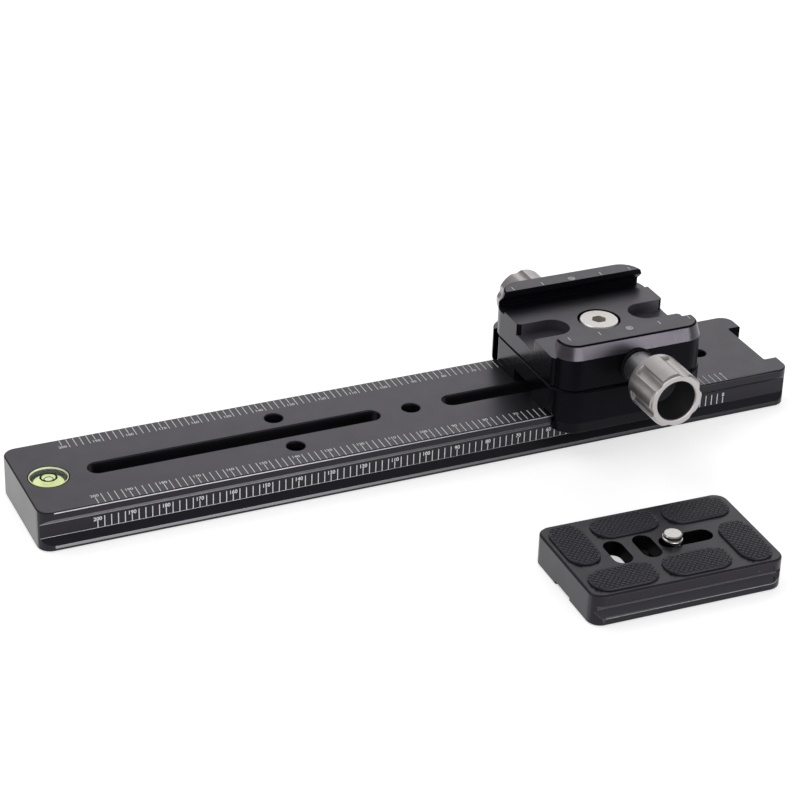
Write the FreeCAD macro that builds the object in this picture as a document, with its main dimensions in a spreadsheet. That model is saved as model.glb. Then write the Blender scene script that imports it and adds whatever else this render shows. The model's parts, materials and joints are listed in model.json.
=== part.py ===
"""Macro focusing rail: a dovetail rail, a sliding double clamp and a loose quick-release plate.

Frame: millimetres, +Z up, +X along the rail. The origin is at the centre of the rail's bottom face.
The double clamp is two like clamps, back to back on a seam plane: the upper one opens upwards for a
plate, the lower one is the same clamp turned over, and it grips the rail's top dovetail.
Every clamp piece is modelled in a clamp frame: x along the rail, +y towards the fixed jaw, z = 0 on the
seam and +z towards the channel.
"""
import FreeCAD, Part
import math
import os
from types import SimpleNamespace

import Sketcher

Vector = FreeCAD.Vector
Rotation = FreeCAD.Rotation

SIZES = [
    # rail
    ("rail_length", 239.2),
    ("rail_width", 38.0),            # over the dovetail flanges
    ("rail_height", 12.5),
    ("rail_corner", 4.0),            # plan radius of the four corners
    ("rail_flange", 2.4),            # upright edge of the top dovetail
    ("rail_recess", 2.0),            # how far the scale band lies in from the flanges
    ("rail_band", 4.4),              # height of the upright scale band
    ("rail_edge", 0.3),              # chamfer along the rail's outer edges
    ("slot_width", 6.0),
    ("long_slot_inset", 19.9),       # rail's left end to the long slot
    ("long_slot_to", -10.2),
    ("short_slot_from", 10.5),
    ("short_slot_inset", 36.6),      # short slot to the rail's right end
    ("tapped_hole", 5.4),            # diameter of the three threaded holes
    ("pair_hole_x", -40.2),
    ("pair_hole_y", 8.7),
    ("stop_hole", 5.0),              # diameter of the hole near the right end
    ("stop_hole_inset", 21.8),       # its axis to the rail's right end
    ("hole_edge", 0.25),             # chamfer round slots and holes
    ("notch_width", 22.0),
    ("notch_depth", 4.5),
    ("notch_corner", 0.6),
    # round level
    ("level_inset", 8.4),            # rail's left end to the level's axis
    ("level_diameter", 11.8),
    ("level_height", 5.6),
    ("level_wall", 0.8),
    ("level_lens", 0.9),             # thickness of the clear top
    ("level_plug_height", 1.0),
    ("bubble_diameter", 2.4),
    ("bubble_height", 0.7),
    ("fit_play", 0.02),              # clearance round pieces that are pressed or screwed in
    # clamp bodies
    ("clamp_x", 61.0),               # rest position of the clamp along the rail
    ("clamp_length", 49.4),
    ("clamp_floor", 9.5),            # seam to channel floor
    ("clamp_front", 18.2),           # screw axis to the face that the moving jaw closes on
    ("clamp_back", 24.4),            # screw axis to the outer face behind the fixed jaw
    ("clamp_corner", 8.0),
    ("front_corner", 1.5),
    ("jaw_rise", 5.0),               # jaw top above the channel floor
    ("band_height", 4.3),            # height of the sloping band round the jaw's top
    ("band_angle", 18.0),            # its slope from upright, in degrees
    ("lip_reach", 17.15),            # screw axis to the fixed jaw's lip
    ("lip_height", 3.25),            # floor to the lower edge of the lip
    ("undercut", 2.55),              # width and height of the fixed jaw's 45 degree face
    ("groove_inner", 14.3),          # screw axis to the relief groove beside the fixed jaw
    ("groove_depth", 1.0),
    ("jaw_edge", 0.4),               # chamfer round the jaw tops
    ("seam_edge", 0.4),              # chamfer round the seam
    ("pocket_width", 10.0),          # the two pockets that open at the ends of the floor
    ("pocket_length", 14.2),
    ("pocket_depth", 3.7),
    ("pocket_mouth", 1.2),
    ("seat_gap", 0.05),              # running gap between the clamp and the rail
    # moving jaws
    ("jaw_length", 48.0),
    ("jaw_plate", 5.0),              # thickness of the jaw's upright plate
    ("jaw_corner", 6.5),
    ("jaw_lip", 15.4),               # screw axis to the moving lip with the jaw shut
    ("jaw_shut_gap", 0.2),           # gap between plate and clamp body with the jaw shut
    ("jaw_seam_gap", 0.3),
    ("upper_open", 0.2),             # how far the upper jaw stands open at rest
    # knobs
    ("stud_diameter", 5.0),
    ("stud_z", 6.0),                 # height of the knob axis above the seam
    ("stud_depth", 10.0),            # how far the stud reaches into the clamp body
    ("stud_play", 0.05),
    ("stud_bore_play", 0.15),        # clearance of the stud in the moving jaw
    ("washer_diameter", 10.6),
    ("washer_height", 1.2),
    ("collar_diameter", 9.6),
    ("collar_length", 9.2),
    ("knob_diameter", 17.2),
    ("knob_length", 13.9),
    ("knob_bore", 12.3),
    ("knob_bore_depth", 11.0),
    ("knob_edge", 0.6),
    ("knob_back_edge", 0.7),
    ("bore_edge", 0.3),
    ("flute_depth", 0.9),
    ("flute_radius", 2.6),
    ("flute_start", 2.3),            # plain band behind the flutes
    ("flute_count", 6),
    ("upper_turn", 17.0),            # where each knob stands at rest, in degrees
    ("lower_turn", 17.0),
    ("guide_diameter", 3.0),
    ("guide_spacing", 30.0),
    ("guide_z", 4.75),
    ("guide_depth", 12.0),           # reach of the guide pins into the clamp body with the jaw shut
    ("guide_hold", 3.5),             # how far the guide pins are pressed into the jaw
    ("spring_radius", 2.1),
    ("spring_wire", 0.5),
    ("spring_pocket", 2.6),          # radius of the spring's pocket
    ("spring_pocket_depth", 4.0),
    ("bore_end_gap", 0.5),           # room behind the ends of the stud and the guide pins
    ("spring_turns", 2.0),
    # fasteners of the double clamp
    ("head_diameter", 12.0),
    ("head_height", 3.6),
    ("head_bore", 13.0),
    ("head_edge", 0.4),
    ("hex_across", 4.0),
    ("hex_depth", 2.2),
    ("shank_diameter", 6.0),
    ("screw_end_gap", 1.0),          # screw's end to the lower channel's floor
    ("dowel_diameter", 3.0),
    ("dowel_spacing", 17.0),
    ("dowel_length", 6.0),
    # quick-release plate
    ("plate_x", 34.65),
    ("plate_y", -89.4),
    ("plate_yaw", -1.5),             # degrees
    ("plate_length", 58.5),
    ("plate_width", 37.0),
    ("plate_height", 9.7),
    ("plate_corner", 4.0),
    ("plate_edge", 0.5),
    ("plate_flange", 2.3),           # upright edge of the plate's dovetail
    ("plate_recess", 2.0),
    ("plate_groove_top", 6.3),
    ("groove_length", 51.0),         # straight part of the side grooves
    ("cutter_radius", 6.0),          # radius left by the cutter at the grooves' ends
    ("cross_slot_x", -12.9),
    ("cross_slot_gap", 8.9),         # between the two cross slots
    ("cross_slot_width", 5.6),
    ("cross_slot_length", 11.4),
    ("screw_slot_from", -0.2),
    ("screw_slot_to", 16.0),
    ("screw_slot_width", 5.6),
    ("key_width", 9.0),              # shallow channel along the plate's underside
    ("key_depth", 1.2),
    ("head_slot_width", 13.0),
    ("head_slot_depth", 4.2),
    ("strap_recess_length", 17.5),   # recess under both cross slots, along the plate
    ("strap_recess_width", 27.0),
    ("strap_recess_depth", 5.0),
    ("strap_recess_corner", 4.0),
    ("pad_length", 20.0),
    ("pad_width", 9.8),
    ("pad_height", 0.8),
    ("pad_row_y", 11.8),
    ("pad_near_x", 5.0),
    ("pad_far_x", 17.3),
    ("pad_end_x", 22.7),
    ("pad_end_y", 6.8),
    # camera screw
    ("camera_thread", 6.35),
    ("camera_neck", 4.8),
    ("camera_rise", 2.6),            # thread above the plate
    ("camera_edge", 0.8),
    ("camera_head", 12.0),
    ("camera_head_height", 3.0),
    ("camera_slot", 1.4),            # coin slot across the head
    ("camera_slot_depth", 1.4),
    ("camera_play", 0.2),            # clearance above the screw's head
    ("camera_rest", 0.7),            # where the screw stands in its slot, from the slot's left end
]


class Size:
    """A length that carries its value and the spreadsheet expression it comes from."""

    def __init__(self, value, text):
        self.value = float(value)
        self.text = text

    @staticmethod
    def of(other):
        if isinstance(other, Size):
            return other
        return Size(other, repr(float(other)))

    def __add__(self, other):
        other = Size.of(other)
        return Size(self.value + other.value, f"({self.text} + {other.text})")

    def __sub__(self, other):
        other = Size.of(other)
        return Size(self.value - other.value, f"({self.text} - {other.text})")

    def __mul__(self, other):
        other = Size.of(other)
        return Size(self.value * other.value, f"({self.text} * {other.text})")

    def __truediv__(self, other):
        other = Size.of(other)
        return Size(self.value / other.value, f"({self.text} / {other.text})")

    def __radd__(self, other):
        return Size.of(other) + self

    def __rsub__(self, other):
        return Size.of(other) - self

    def __rmul__(self, other):
        return Size.of(other) * self

    def __neg__(self):
        return Size(-self.value, f"(-1 * {self.text})")


doc = FreeCAD.newDocument("focusing_rail")
sheet = doc.addObject("Spreadsheet::Sheet", "sizes")
size = SimpleNamespace()
for row, (name, value) in enumerate(SIZES, start=1):
    sheet.set(f"A{row}", name)
    sheet.set(f"B{row}", repr(value))
    sheet.setAlias(f"B{row}", name)
    setattr(size, name, Size(value, f"sizes.{name}"))
doc.recompute()

PARTS = []
NEAR = 1e-4                          # points closer than this are one point


# ---------------------------------------------------------------- helpers

def bind(feature, path, length):
    """Set a property and tie it to the spreadsheet."""
    feature.setExpression(path, Size.of(length).text)


def new_body(label):
    body = doc.addObject("PartDesign::Body", label)
    body.Label = label
    PARTS.append(body)
    return body


def new_sketch(body, role, offset=0.0):
    """A sketch on one of the body's own origin planes, moved along the plane's normal."""
    sketch = body.newObject("Sketcher::SketchObject", "Sketch")
    plane = next(item for item in body.Origin.OriginFeatures if item.Role == role)
    sketch.AttachmentSupport = [(plane, "")]
    sketch.MapMode = "FlatFace"
    offset = Size.of(offset)
    sketch.AttachmentOffset = FreeCAD.Placement(Vector(0, 0, offset.value), Rotation())
    sketch.setExpression("AttachmentOffset.Base.z", offset.text)
    return sketch


def hold(sketch, kind, *items, length):
    """Add a dimension to a sketch and tie it to the spreadsheet."""
    length = Size.of(length)
    index = sketch.addConstraint(Sketcher.Constraint(kind, *items, length.value))
    sketch.setExpression(f"Constraints[{index}]", length.text)


def pin_point(sketch, curve, end, point):
    """Hold one end of a sketch curve at a point measured from the sketch's origin."""
    hold(sketch, "DistanceX", -1, 1, curve, end, length=point[0])
    hold(sketch, "DistanceY", -1, 1, curve, end, length=point[1])


def flat(point):
    return Vector(Size.of(point[0]).value, Size.of(point[1]).value, 0)


def draw_polygon(sketch, points):
    """A closed outline of straight lines."""
    count = len(points)
    first = sketch.GeometryCount
    for step in range(count):
        sketch.addGeometry(Part.LineSegment(flat(points[step]), flat(points[(step + 1) % count])))
    for step in range(count):
        following = first + (step + 1) % count
        sketch.addConstraint(Sketcher.Constraint("Coincident", first + step, 2, following, 1))
        pin_point(sketch, first + step, 1, points[step])


def draw_circle(sketch, centre, radius):
    radius = Size.of(radius)
    curve = sketch.addGeometry(Part.Circle(flat(centre), Vector(0, 0, 1), radius.value))
    hold(sketch, "Radius", curve, length=radius)
    pin_point(sketch, curve, 3, centre)


def draw_corner(sketch, centre, radius, quarter):
    """A quarter arc; quarter 0 runs from +x to +y, 1 from +y to -x, and so on."""
    start = math.radians(90.0 * quarter)
    circle = Part.Circle(flat(centre), Vector(0, 0, 1), Size.of(radius).value)
    return sketch.addGeometry(Part.ArcOfCircle(circle, start, start + math.pi / 2))


def draw_box(sketch, low, high, corners):
    """A rectangle with one radius per corner, counted anticlockwise from the +x +y corner."""
    signs = [(1, 1), (-1, 1), (-1, -1), (1, -1)]
    arcs = []
    for quarter, (sign_x, sign_y) in enumerate(signs):
        radius = Size.of(corners[quarter])
        x = (high if sign_x > 0 else low)[0] - sign_x * radius
        y = (high if sign_y > 0 else low)[1] - sign_y * radius
        arc = draw_corner(sketch, (x, y), radius, quarter)
        hold(sketch, "Radius", arc, length=radius)
        pin_point(sketch, arc, 3, (x, y))
        arcs.append(arc)
    for quarter in range(4):
        here, following = arcs[quarter], arcs[(quarter + 1) % 4]
        start = sketch.getPoint(here, 2)
        end = sketch.getPoint(following, 1)
        line = sketch.addGeometry(Part.LineSegment(start, end))
        sketch.addConstraint(Sketcher.Constraint("Tangent", here, 2, line, 1))
        sketch.addConstraint(Sketcher.Constraint("Tangent", line, 2, following, 1))


def draw_stadium(sketch, start, end, width):
    """A slot with round ends along x or y, from one end's centre to the other's."""
    radius = Size.of(width) / 2
    along_x = Size.of(start[1]).value == Size.of(end[1]).value
    turn = -math.pi / 2 if along_x else 0.0
    lift = Vector(0, 0, 1)
    far = sketch.addGeometry(Part.ArcOfCircle(
        Part.Circle(flat(end), lift, radius.value), turn, turn + math.pi))
    near = sketch.addGeometry(Part.ArcOfCircle(
        Part.Circle(flat(start), lift, radius.value), turn + math.pi, turn + 2 * math.pi))
    sides = []
    for here, following in ((far, near), (near, far)):
        begin = sketch.getPoint(here, 2)
        finish = sketch.getPoint(following, 1)
        sides.append(sketch.addGeometry(Part.LineSegment(begin, finish)))
    for arc, side, following in ((far, sides[0], near), (near, sides[1], far)):
        sketch.addConstraint(Sketcher.Constraint("Tangent", arc, 2, side, 1))
        sketch.addConstraint(Sketcher.Constraint("Tangent", side, 2, following, 1))
    hold(sketch, "Radius", far, length=radius)
    pin_point(sketch, far, 3, end)
    pin_point(sketch, near, 3, start)


def pad(body, sketch, length, symmetric=False, taper=None):
    feature = body.newObject("PartDesign::Pad", "Pad")
    feature.Profile = sketch
    if symmetric:
        feature.SideType = "Symmetric"
    bind(feature, "Length", length)
    if taper is not None:
        feature.setExpression("TaperAngle", f"-1 * {taper.text}")
    doc.recompute()
    return feature


def pocket(body, sketch, length, symmetric=False, reverse=False):
    """Cut a sketch out of the body, and make sure that something was cut."""
    before = body.Shape.Volume
    feature = body.newObject("PartDesign::Pocket", "Pocket")
    feature.Profile = sketch
    if symmetric:
        feature.SideType = "Symmetric"
    feature.Reversed = reverse
    bind(feature, "Length", length)
    doc.recompute()
    if body.Shape.Volume > before - NEAR:
        raise RuntimeError(f"a pocket of {body.Label} cuts nothing")
    return feature


def revolve(body, points):
    """A turned shape: an outline in x (radius) and z, turned about the body's Z axis."""
    sketch = new_sketch(body, "XZ_Plane")
    draw_polygon(sketch, points)
    feature = body.newObject("PartDesign::Revolution", "Revolution")
    feature.Profile = sketch
    feature.ReferenceAxis = (sketch, ["V_Axis"])
    feature.Angle = 360
    doc.recompute()
    return feature


def pick_edges(feature, wanted):
    """Names of the feature's edges that satisfy a test."""
    names = []
    for index, edge in enumerate(feature.Shape.Edges, start=1):
        if wanted(edge):
            names.append(f"Edge{index}")
    if not names:
        raise RuntimeError(f"no edge to dress on {feature.Label}")
    return names


def chamfer(body, base, wanted, length):
    feature = body.newObject("PartDesign::Chamfer", "Chamfer")
    feature.Base = (base, pick_edges(base, wanted))
    feature.Size = Size.of(length).value
    bind(feature, "Size", length)
    doc.recompute()
    return feature


def fillet(body, base, wanted, length):
    feature = body.newObject("PartDesign::Fillet", "Fillet")
    feature.Base = (base, pick_edges(base, wanted))
    feature.Radius = Size.of(length).value
    bind(feature, "Radius", length)
    doc.recompute()
    return feature


def ends(edge):
    return [vertex.Point for vertex in edge.Vertexes]


def level_at(edge, z):
    """True for an edge that lies in the plane at height z."""
    box = edge.BoundBox
    return abs(box.ZMin - z.value) < NEAR and abs(box.ZMax - z.value) < NEAR


def place(part, x, y, z, rotation=Rotation()):
    """Put a part at a point of the row's frame that the spreadsheet sets."""
    part.Placement = FreeCAD.Placement(Vector(0, 0, 0), rotation)
    bind(part, "Placement.Base.x", x)
    bind(part, "Placement.Base.y", y)
    bind(part, "Placement.Base.z", z)


# ---------------------------------------------------------------- shared places

rail_half = size.rail_width / 2
level_x = size.level_inset - size.rail_length / 2
level_seat = size.level_diameter / 2 + size.fit_play
jaw_top = size.clamp_floor + size.jaw_rise
band_start = jaw_top - size.band_height
# the rail's dovetail and the jaws' lips are 45 degree planes, so each is a sum of reach and height
rail_dovetail = rail_half + size.rail_flange
fixed_dovetail = size.lip_reach + size.lip_height
dovetail_gap = size.seat_gap * 2
# the lower clamp's fixed jaw seats on the rail's front dovetail, which sets the clamp off the centre
clamp_offset = rail_dovetail + dovetail_gap - fixed_dovetail
clamp_y = -clamp_offset
seam_z = size.rail_height + size.seat_gap + size.clamp_floor
plate_face = size.clamp_front + size.jaw_shut_gap
# the lower jaw stands open far enough to seat on the rail's rear dovetail
lower_open = rail_dovetail + clamp_offset + dovetail_gap - size.jaw_lip - size.lip_height
TURN_OVER = Rotation(Vector(1, 0, 0), 180)


class Clamp:
    """Where one of the two clamps stands, and which way up."""

    def __init__(self, name, turned_over, opening, knob_turn):
        self.name = name
        self.sign = -1 if turned_over else 1
        self.rotation = TURN_OVER if turned_over else Rotation()
        self.opening = opening
        self.knob_turn = Rotation(Vector(0, 0, 1), knob_turn.value)

    def put(self, part, x=0.0, y=0.0, z=0.0, rotation=Rotation()):
        """Place a part that was modelled at a point of the clamp frame."""
        place(part, size.clamp_x + x, clamp_y + self.sign * Size.of(y),
              seam_z + self.sign * Size.of(z), self.rotation * rotation)


UPPER = Clamp("upper", False, size.upper_open, size.upper_turn)
LOWER = Clamp("lower", True, lower_open, size.lower_turn)


# ---------------------------------------------------------------- rail

def build_rail():
    body = new_body("rail_body")
    top = size.rail_height
    waist = rail_half - size.rail_recess
    undercut = top - size.rail_flange - size.rail_recess
    band_foot = undercut - size.rail_band
    slope_foot = band_foot - size.rail_recess
    right = [(rail_half, Size.of(0)), (rail_half, slope_foot), (waist, band_foot),
             (waist, undercut), (rail_half, top - size.rail_flange), (rail_half, top)]
    left = [(-x, y) for x, y in reversed(right)]
    section = new_sketch(body, "YZ_Plane")
    draw_polygon(section, right + left)
    pad(body, section, size.rail_length, symmetric=True)

    # the four plan corners are cut off outside a rounded rectangle
    half = size.rail_length / 2
    corner = size.rail_corner
    margin = 2 * corner
    trim = new_sketch(body, "XY_Plane")
    draw_box(trim, (-half, -rail_half), (half, rail_half), [corner] * 4)
    outer = [(half + margin, rail_half + margin), (-half - margin, rail_half + margin),
             (-half - margin, -rail_half - margin), (half + margin, -rail_half - margin)]
    draw_polygon(trim, outer)
    pocket(body, trim, top * 2, symmetric=True)

    # end notch
    notch = new_sketch(body, "XY_Plane")
    notch_half = size.notch_width / 2
    notch_floor = half - size.notch_depth
    draw_box(notch, (notch_floor, -notch_half), (half + margin, notch_half),
             [size.notch_corner] * 4)
    trimmed = pocket(body, notch, top * 2, symmetric=True)

    def outer_rim(edge):
        near_end = all(abs(abs(p.x) - half.value) < corner.value + NEAR for p in ends(edge))
        near_side = all(abs(abs(p.y) - rail_half.value) < corner.value + NEAR for p in ends(edge))
        in_notch = all(p.x > notch_floor.value - NEAR and abs(p.y) < notch_half.value + NEAR
                       for p in ends(edge))
        flat_edge = level_at(edge, top) or level_at(edge, Size.of(0))
        return flat_edge and (near_end or near_side) and not in_notch

    chamfer(body, trimmed, outer_rim, size.rail_edge)

    # slots and holes through the rail, with a fine chamfer on their top edges
    openings = new_sketch(body, "XY_Plane")
    slot_end = size.slot_width / 2
    zero = Size.of(0)
    for first, last in ((size.long_slot_inset - half, size.long_slot_to),
                        (size.short_slot_from, half - size.short_slot_inset)):
        draw_stadium(openings, (first + slot_end, zero), (last - slot_end, zero), size.slot_width)
    draw_circle(openings, (zero, zero), size.tapped_hole / 2)
    for side in (-1, 1):
        draw_circle(openings, (size.pair_hole_x, side * size.pair_hole_y), size.tapped_hole / 2)
    draw_circle(openings, (half - size.stop_hole_inset, zero), size.stop_hole / 2)
    opened = pocket(body, openings, top * 2, symmetric=True)

    def hole_rim(edge):
        clear_of_sides = all(abs(p.y) < waist.value for p in ends(edge))
        clear_of_ends = all(abs(p.x) < notch_floor.value - NEAR for p in ends(edge))
        return level_at(edge, top) and clear_of_sides and clear_of_ends

    chamfer(body, opened, hole_rim, size.hole_edge)

    # seat of the round level
    seat = new_sketch(body, "XY_Plane", top)
    draw_circle(seat, (level_x, zero), level_seat)
    pocket(body, seat, size.level_height)


# ---------------------------------------------------------------- round level

def build_level():
    radius = size.level_diameter / 2
    inner = radius - size.level_wall
    lens = -size.level_lens
    foot = -size.level_height
    liquid_foot = foot + size.level_plug_height
    zero = Size.of(0)

    vial = new_body("level_vial")
    revolve(vial, [(zero, zero), (radius, zero), (radius, foot), (inner, foot), (inner, lens),
                   (zero, lens)])
    plug = new_body("level_plug")
    revolve(plug, [(zero, liquid_foot), (inner, liquid_foot), (inner, foot), (zero, foot)])
    bubble_half = size.bubble_diameter / 2
    bubble_foot = lens - size.bubble_height
    liquid = new_body("level_liquid")
    revolve(liquid, [(bubble_half, lens), (inner, lens), (inner, liquid_foot),
                     (zero, liquid_foot), (zero, bubble_foot), (bubble_half, bubble_foot)])
    bubble = new_body("level_bubble")
    revolve(bubble, [(zero, lens), (bubble_half, lens), (bubble_half, bubble_foot),
                     (zero, bubble_foot)])
    for part in (vial, plug, liquid, bubble):
        place(part, level_x, zero, size.rail_height)


# ---------------------------------------------------------------- clamp bodies

def build_clamp_body(clamp, has_head_bore):
    body = new_body(f"{clamp.name}_clamp_body")
    half = size.clamp_length / 2
    zero = Size.of(0)
    front = -size.clamp_front
    back = size.clamp_back
    floor = size.clamp_floor

    outline = new_sketch(body, "XY_Plane")
    draw_box(outline, (-half, front), (half, back),
             [size.clamp_corner, size.clamp_corner, size.front_corner, size.front_corner])
    block = pad(body, outline, band_start)
    chamfer(body, block, lambda edge: level_at(edge, zero), size.seam_edge)

    # the fixed jaw's top stands inside a sloping band
    ridge = new_sketch(body, "XY_Plane", band_start)
    square = size.front_corner
    draw_box(ridge, (-half, size.lip_reach - size.jaw_rise), (half, back),
             [size.clamp_corner, size.clamp_corner, square, square])
    topped = pad(body, ridge, size.band_height, taper=size.band_angle)
    chamfer(body, topped, lambda edge: level_at(edge, jaw_top), size.jaw_edge)

    # channel: open towards the moving jaw, with the fixed lip and its relief groove behind
    lip_z = floor + size.lip_height
    far = size.lip_reach + size.undercut
    past = size.jaw_rise
    groove_floor = floor - size.groove_depth
    channel = new_sketch(body, "YZ_Plane")
    draw_polygon(channel, [
        (front - past, floor), (size.groove_inner, floor), (size.groove_inner, groove_floor),
        (far, groove_floor), (far, lip_z - size.undercut), (size.lip_reach, lip_z),
        (size.lip_reach, jaw_top + past), (front - past, jaw_top + past)])
    pocket(body, channel, size.clamp_length * 2, symmetric=True)

    # pockets that open at both ends of the floor
    pocket_half = size.pocket_width / 2
    slots = new_sketch(body, "XY_Plane", floor)
    for side in (-1, 1):
        start = side * (half - size.pocket_length + pocket_half)
        end = side * (half + size.pocket_width)
        first, last = (start, end) if side > 0 else (end, start)
        draw_stadium(slots, (first, zero), (last, zero), size.pocket_width)
    opened = pocket(body, slots, size.pocket_depth)

    def mouth(edge):
        points = ends(edge)
        at_corner = all(abs(abs(p.x) - half.value) < NEAR
                        and abs(abs(p.y) - pocket_half.value) < NEAR for p in points)
        return len(points) == 2 and at_corner and abs(points[0].z - points[1].z) > NEAR

    fillet(body, opened, mouth, size.pocket_mouth)

    # bore for the joining screw
    bore = new_sketch(body, "XY_Plane", floor)
    draw_circle(bore, (zero, zero), size.shank_diameter / 2 + size.fit_play)
    pocket(body, bore, floor * 2)
    if has_head_bore:
        counterbore = new_sketch(body, "XY_Plane", floor)
        draw_circle(counterbore, (zero, zero), size.head_bore / 2)
        pocket(body, counterbore, size.head_height)

    # dowel holes in the seam
    dowels = new_sketch(body, "XY_Plane")
    for side in (-1, 1):
        draw_circle(dowels, (side * size.dowel_spacing / 2, zero), size.dowel_diameter / 2)
    pocket(body, dowels, size.dowel_length / 2 + size.seam_edge, reverse=True)

    # threaded bore for the knob's stud, guide bores and spring pockets, all from the front face
    stud_bore = new_sketch(body, "XZ_Plane", size.clamp_front)
    draw_circle(stud_bore, (zero, size.stud_z), size.stud_diameter / 2 + size.stud_play)
    pocket(body, stud_bore, size.stud_depth + size.bore_end_gap)
    for radius, depth in ((size.guide_diameter / 2 + size.stud_play,
                           size.guide_depth + size.bore_end_gap),
                          (size.spring_pocket, size.spring_pocket_depth)):
        pair = new_sketch(body, "XZ_Plane", size.clamp_front)
        for side in (-1, 1):
            draw_circle(pair, (side * size.guide_spacing / 2, size.guide_z), radius)
        pocket(body, pair, depth)
    clamp.put(body)


# ---------------------------------------------------------------- moving jaws

def build_jaw(clamp):
    body = new_body(f"{clamp.name}_jaw")
    half = size.jaw_length / 2
    zero = Size.of(0)
    inner = -plate_face
    outer = inner - size.jaw_plate
    lip = -size.jaw_lip
    inward = lip + size.jaw_rise
    corners = [size.front_corner, size.front_corner, size.jaw_corner, size.jaw_corner]

    low = new_sketch(body, "XY_Plane", size.jaw_seam_gap)
    draw_box(low, (-half, outer), (half, inward), corners)
    block = pad(body, low, band_start - size.jaw_seam_gap)
    high = new_sketch(body, "XY_Plane", band_start)
    draw_box(high, (-half, outer), (half, inward), corners)
    topped = pad(body, high, size.band_height, taper=size.band_angle)
    chamfer(body, topped, lambda edge: level_at(edge, jaw_top), size.jaw_edge)

    # the plate's inner face and the underside of the lip
    lip_z = size.clamp_floor + size.lip_height
    past = size.jaw_rise
    under = lip_z - (plate_face - size.jaw_lip)
    inside = new_sketch(body, "YZ_Plane")
    draw_polygon(inside, [
        (inner, -past), (inner, under), (lip, lip_z), (lip, jaw_top + past),
        (inward + past, jaw_top + past), (inward + past, -past)])
    pocket(body, inside, size.jaw_length * 2, symmetric=True)

    drill = new_sketch(body, "XZ_Plane", plate_face)
    draw_circle(drill, (zero, size.stud_z), size.stud_diameter / 2 + size.stud_bore_play)
    pocket(body, drill, size.jaw_plate * 2, reverse=True)
    guides = new_sketch(body, "XZ_Plane", plate_face)
    for side in (-1, 1):
        draw_circle(guides, (side * size.guide_spacing / 2, size.guide_z), size.guide_diameter / 2)
    pocket(body, guides, size.guide_hold, reverse=True)
    clamp.put(body, y=-clamp.opening)


def build_guides(clamp):
    """Two dowels, pressed into the moving jaw, that run in the clamp body."""
    pins = []
    length = size.guide_hold + size.guide_depth + size.jaw_shut_gap
    for side in (-1, 1):
        pin = doc.addObject("Part::Cylinder", "GuidePin")
        bind(pin, "Radius", size.guide_diameter / 2)
        bind(pin, "Height", length)
        place(pin, side * size.guide_spacing / 2, -plate_face - size.guide_hold, size.guide_z,
              Rotation(Vector(1, 0, 0), -90))
        pins.append(pin)
    group = doc.addObject("Part::Compound", f"{clamp.name}_guide_pins")
    group.Label = f"{clamp.name}_guide_pins"
    group.Links = pins
    clamp.put(group, y=-clamp.opening)
    PARTS.append(group)


def build_springs(clamp):
    """Two springs on the guide pins, from the bottom of their pockets to the jaw."""
    coils = []
    wire = size.spring_wire / 2
    space = size.spring_pocket_depth + size.jaw_shut_gap + clamp.opening
    rise = space - size.spring_wire
    for side in (-1, 1):
        path = doc.addObject("Part::Helix", "SpringPath")
        bind(path, "Radius", size.spring_radius)
        bind(path, "Height", rise)
        bind(path, "Pitch", rise / size.spring_turns)
        section = doc.addObject("Part::RegularPolygon", "SpringWire")
        section.Polygon = 4
        bind(section, "Circumradius", wire * math.sqrt(2))
        across = Rotation(Vector(1, 0, 0), 90) * Rotation(Vector(0, 0, 1), 45)
        place(section, size.spring_radius, 0.0, 0.0, across)
        coil = doc.addObject("Part::Sweep", "Spring")
        coil.Sections = [section]
        coil.Spine = (path, ["Edge1"])
        coil.Solid = True
        coil.Frenet = True
        place(coil, side * size.guide_spacing / 2,
              -size.clamp_front + size.spring_pocket_depth - wire, size.guide_z,
              Rotation(Vector(1, 0, 0), 90))
        coils.append(coil)
    group = doc.addObject("Part::Compound", f"{clamp.name}_springs")
    group.Label = f"{clamp.name}_springs"
    group.Links = coils
    clamp.put(group)
    PARTS.append(group)


# ---------------------------------------------------------------- knobs

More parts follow.
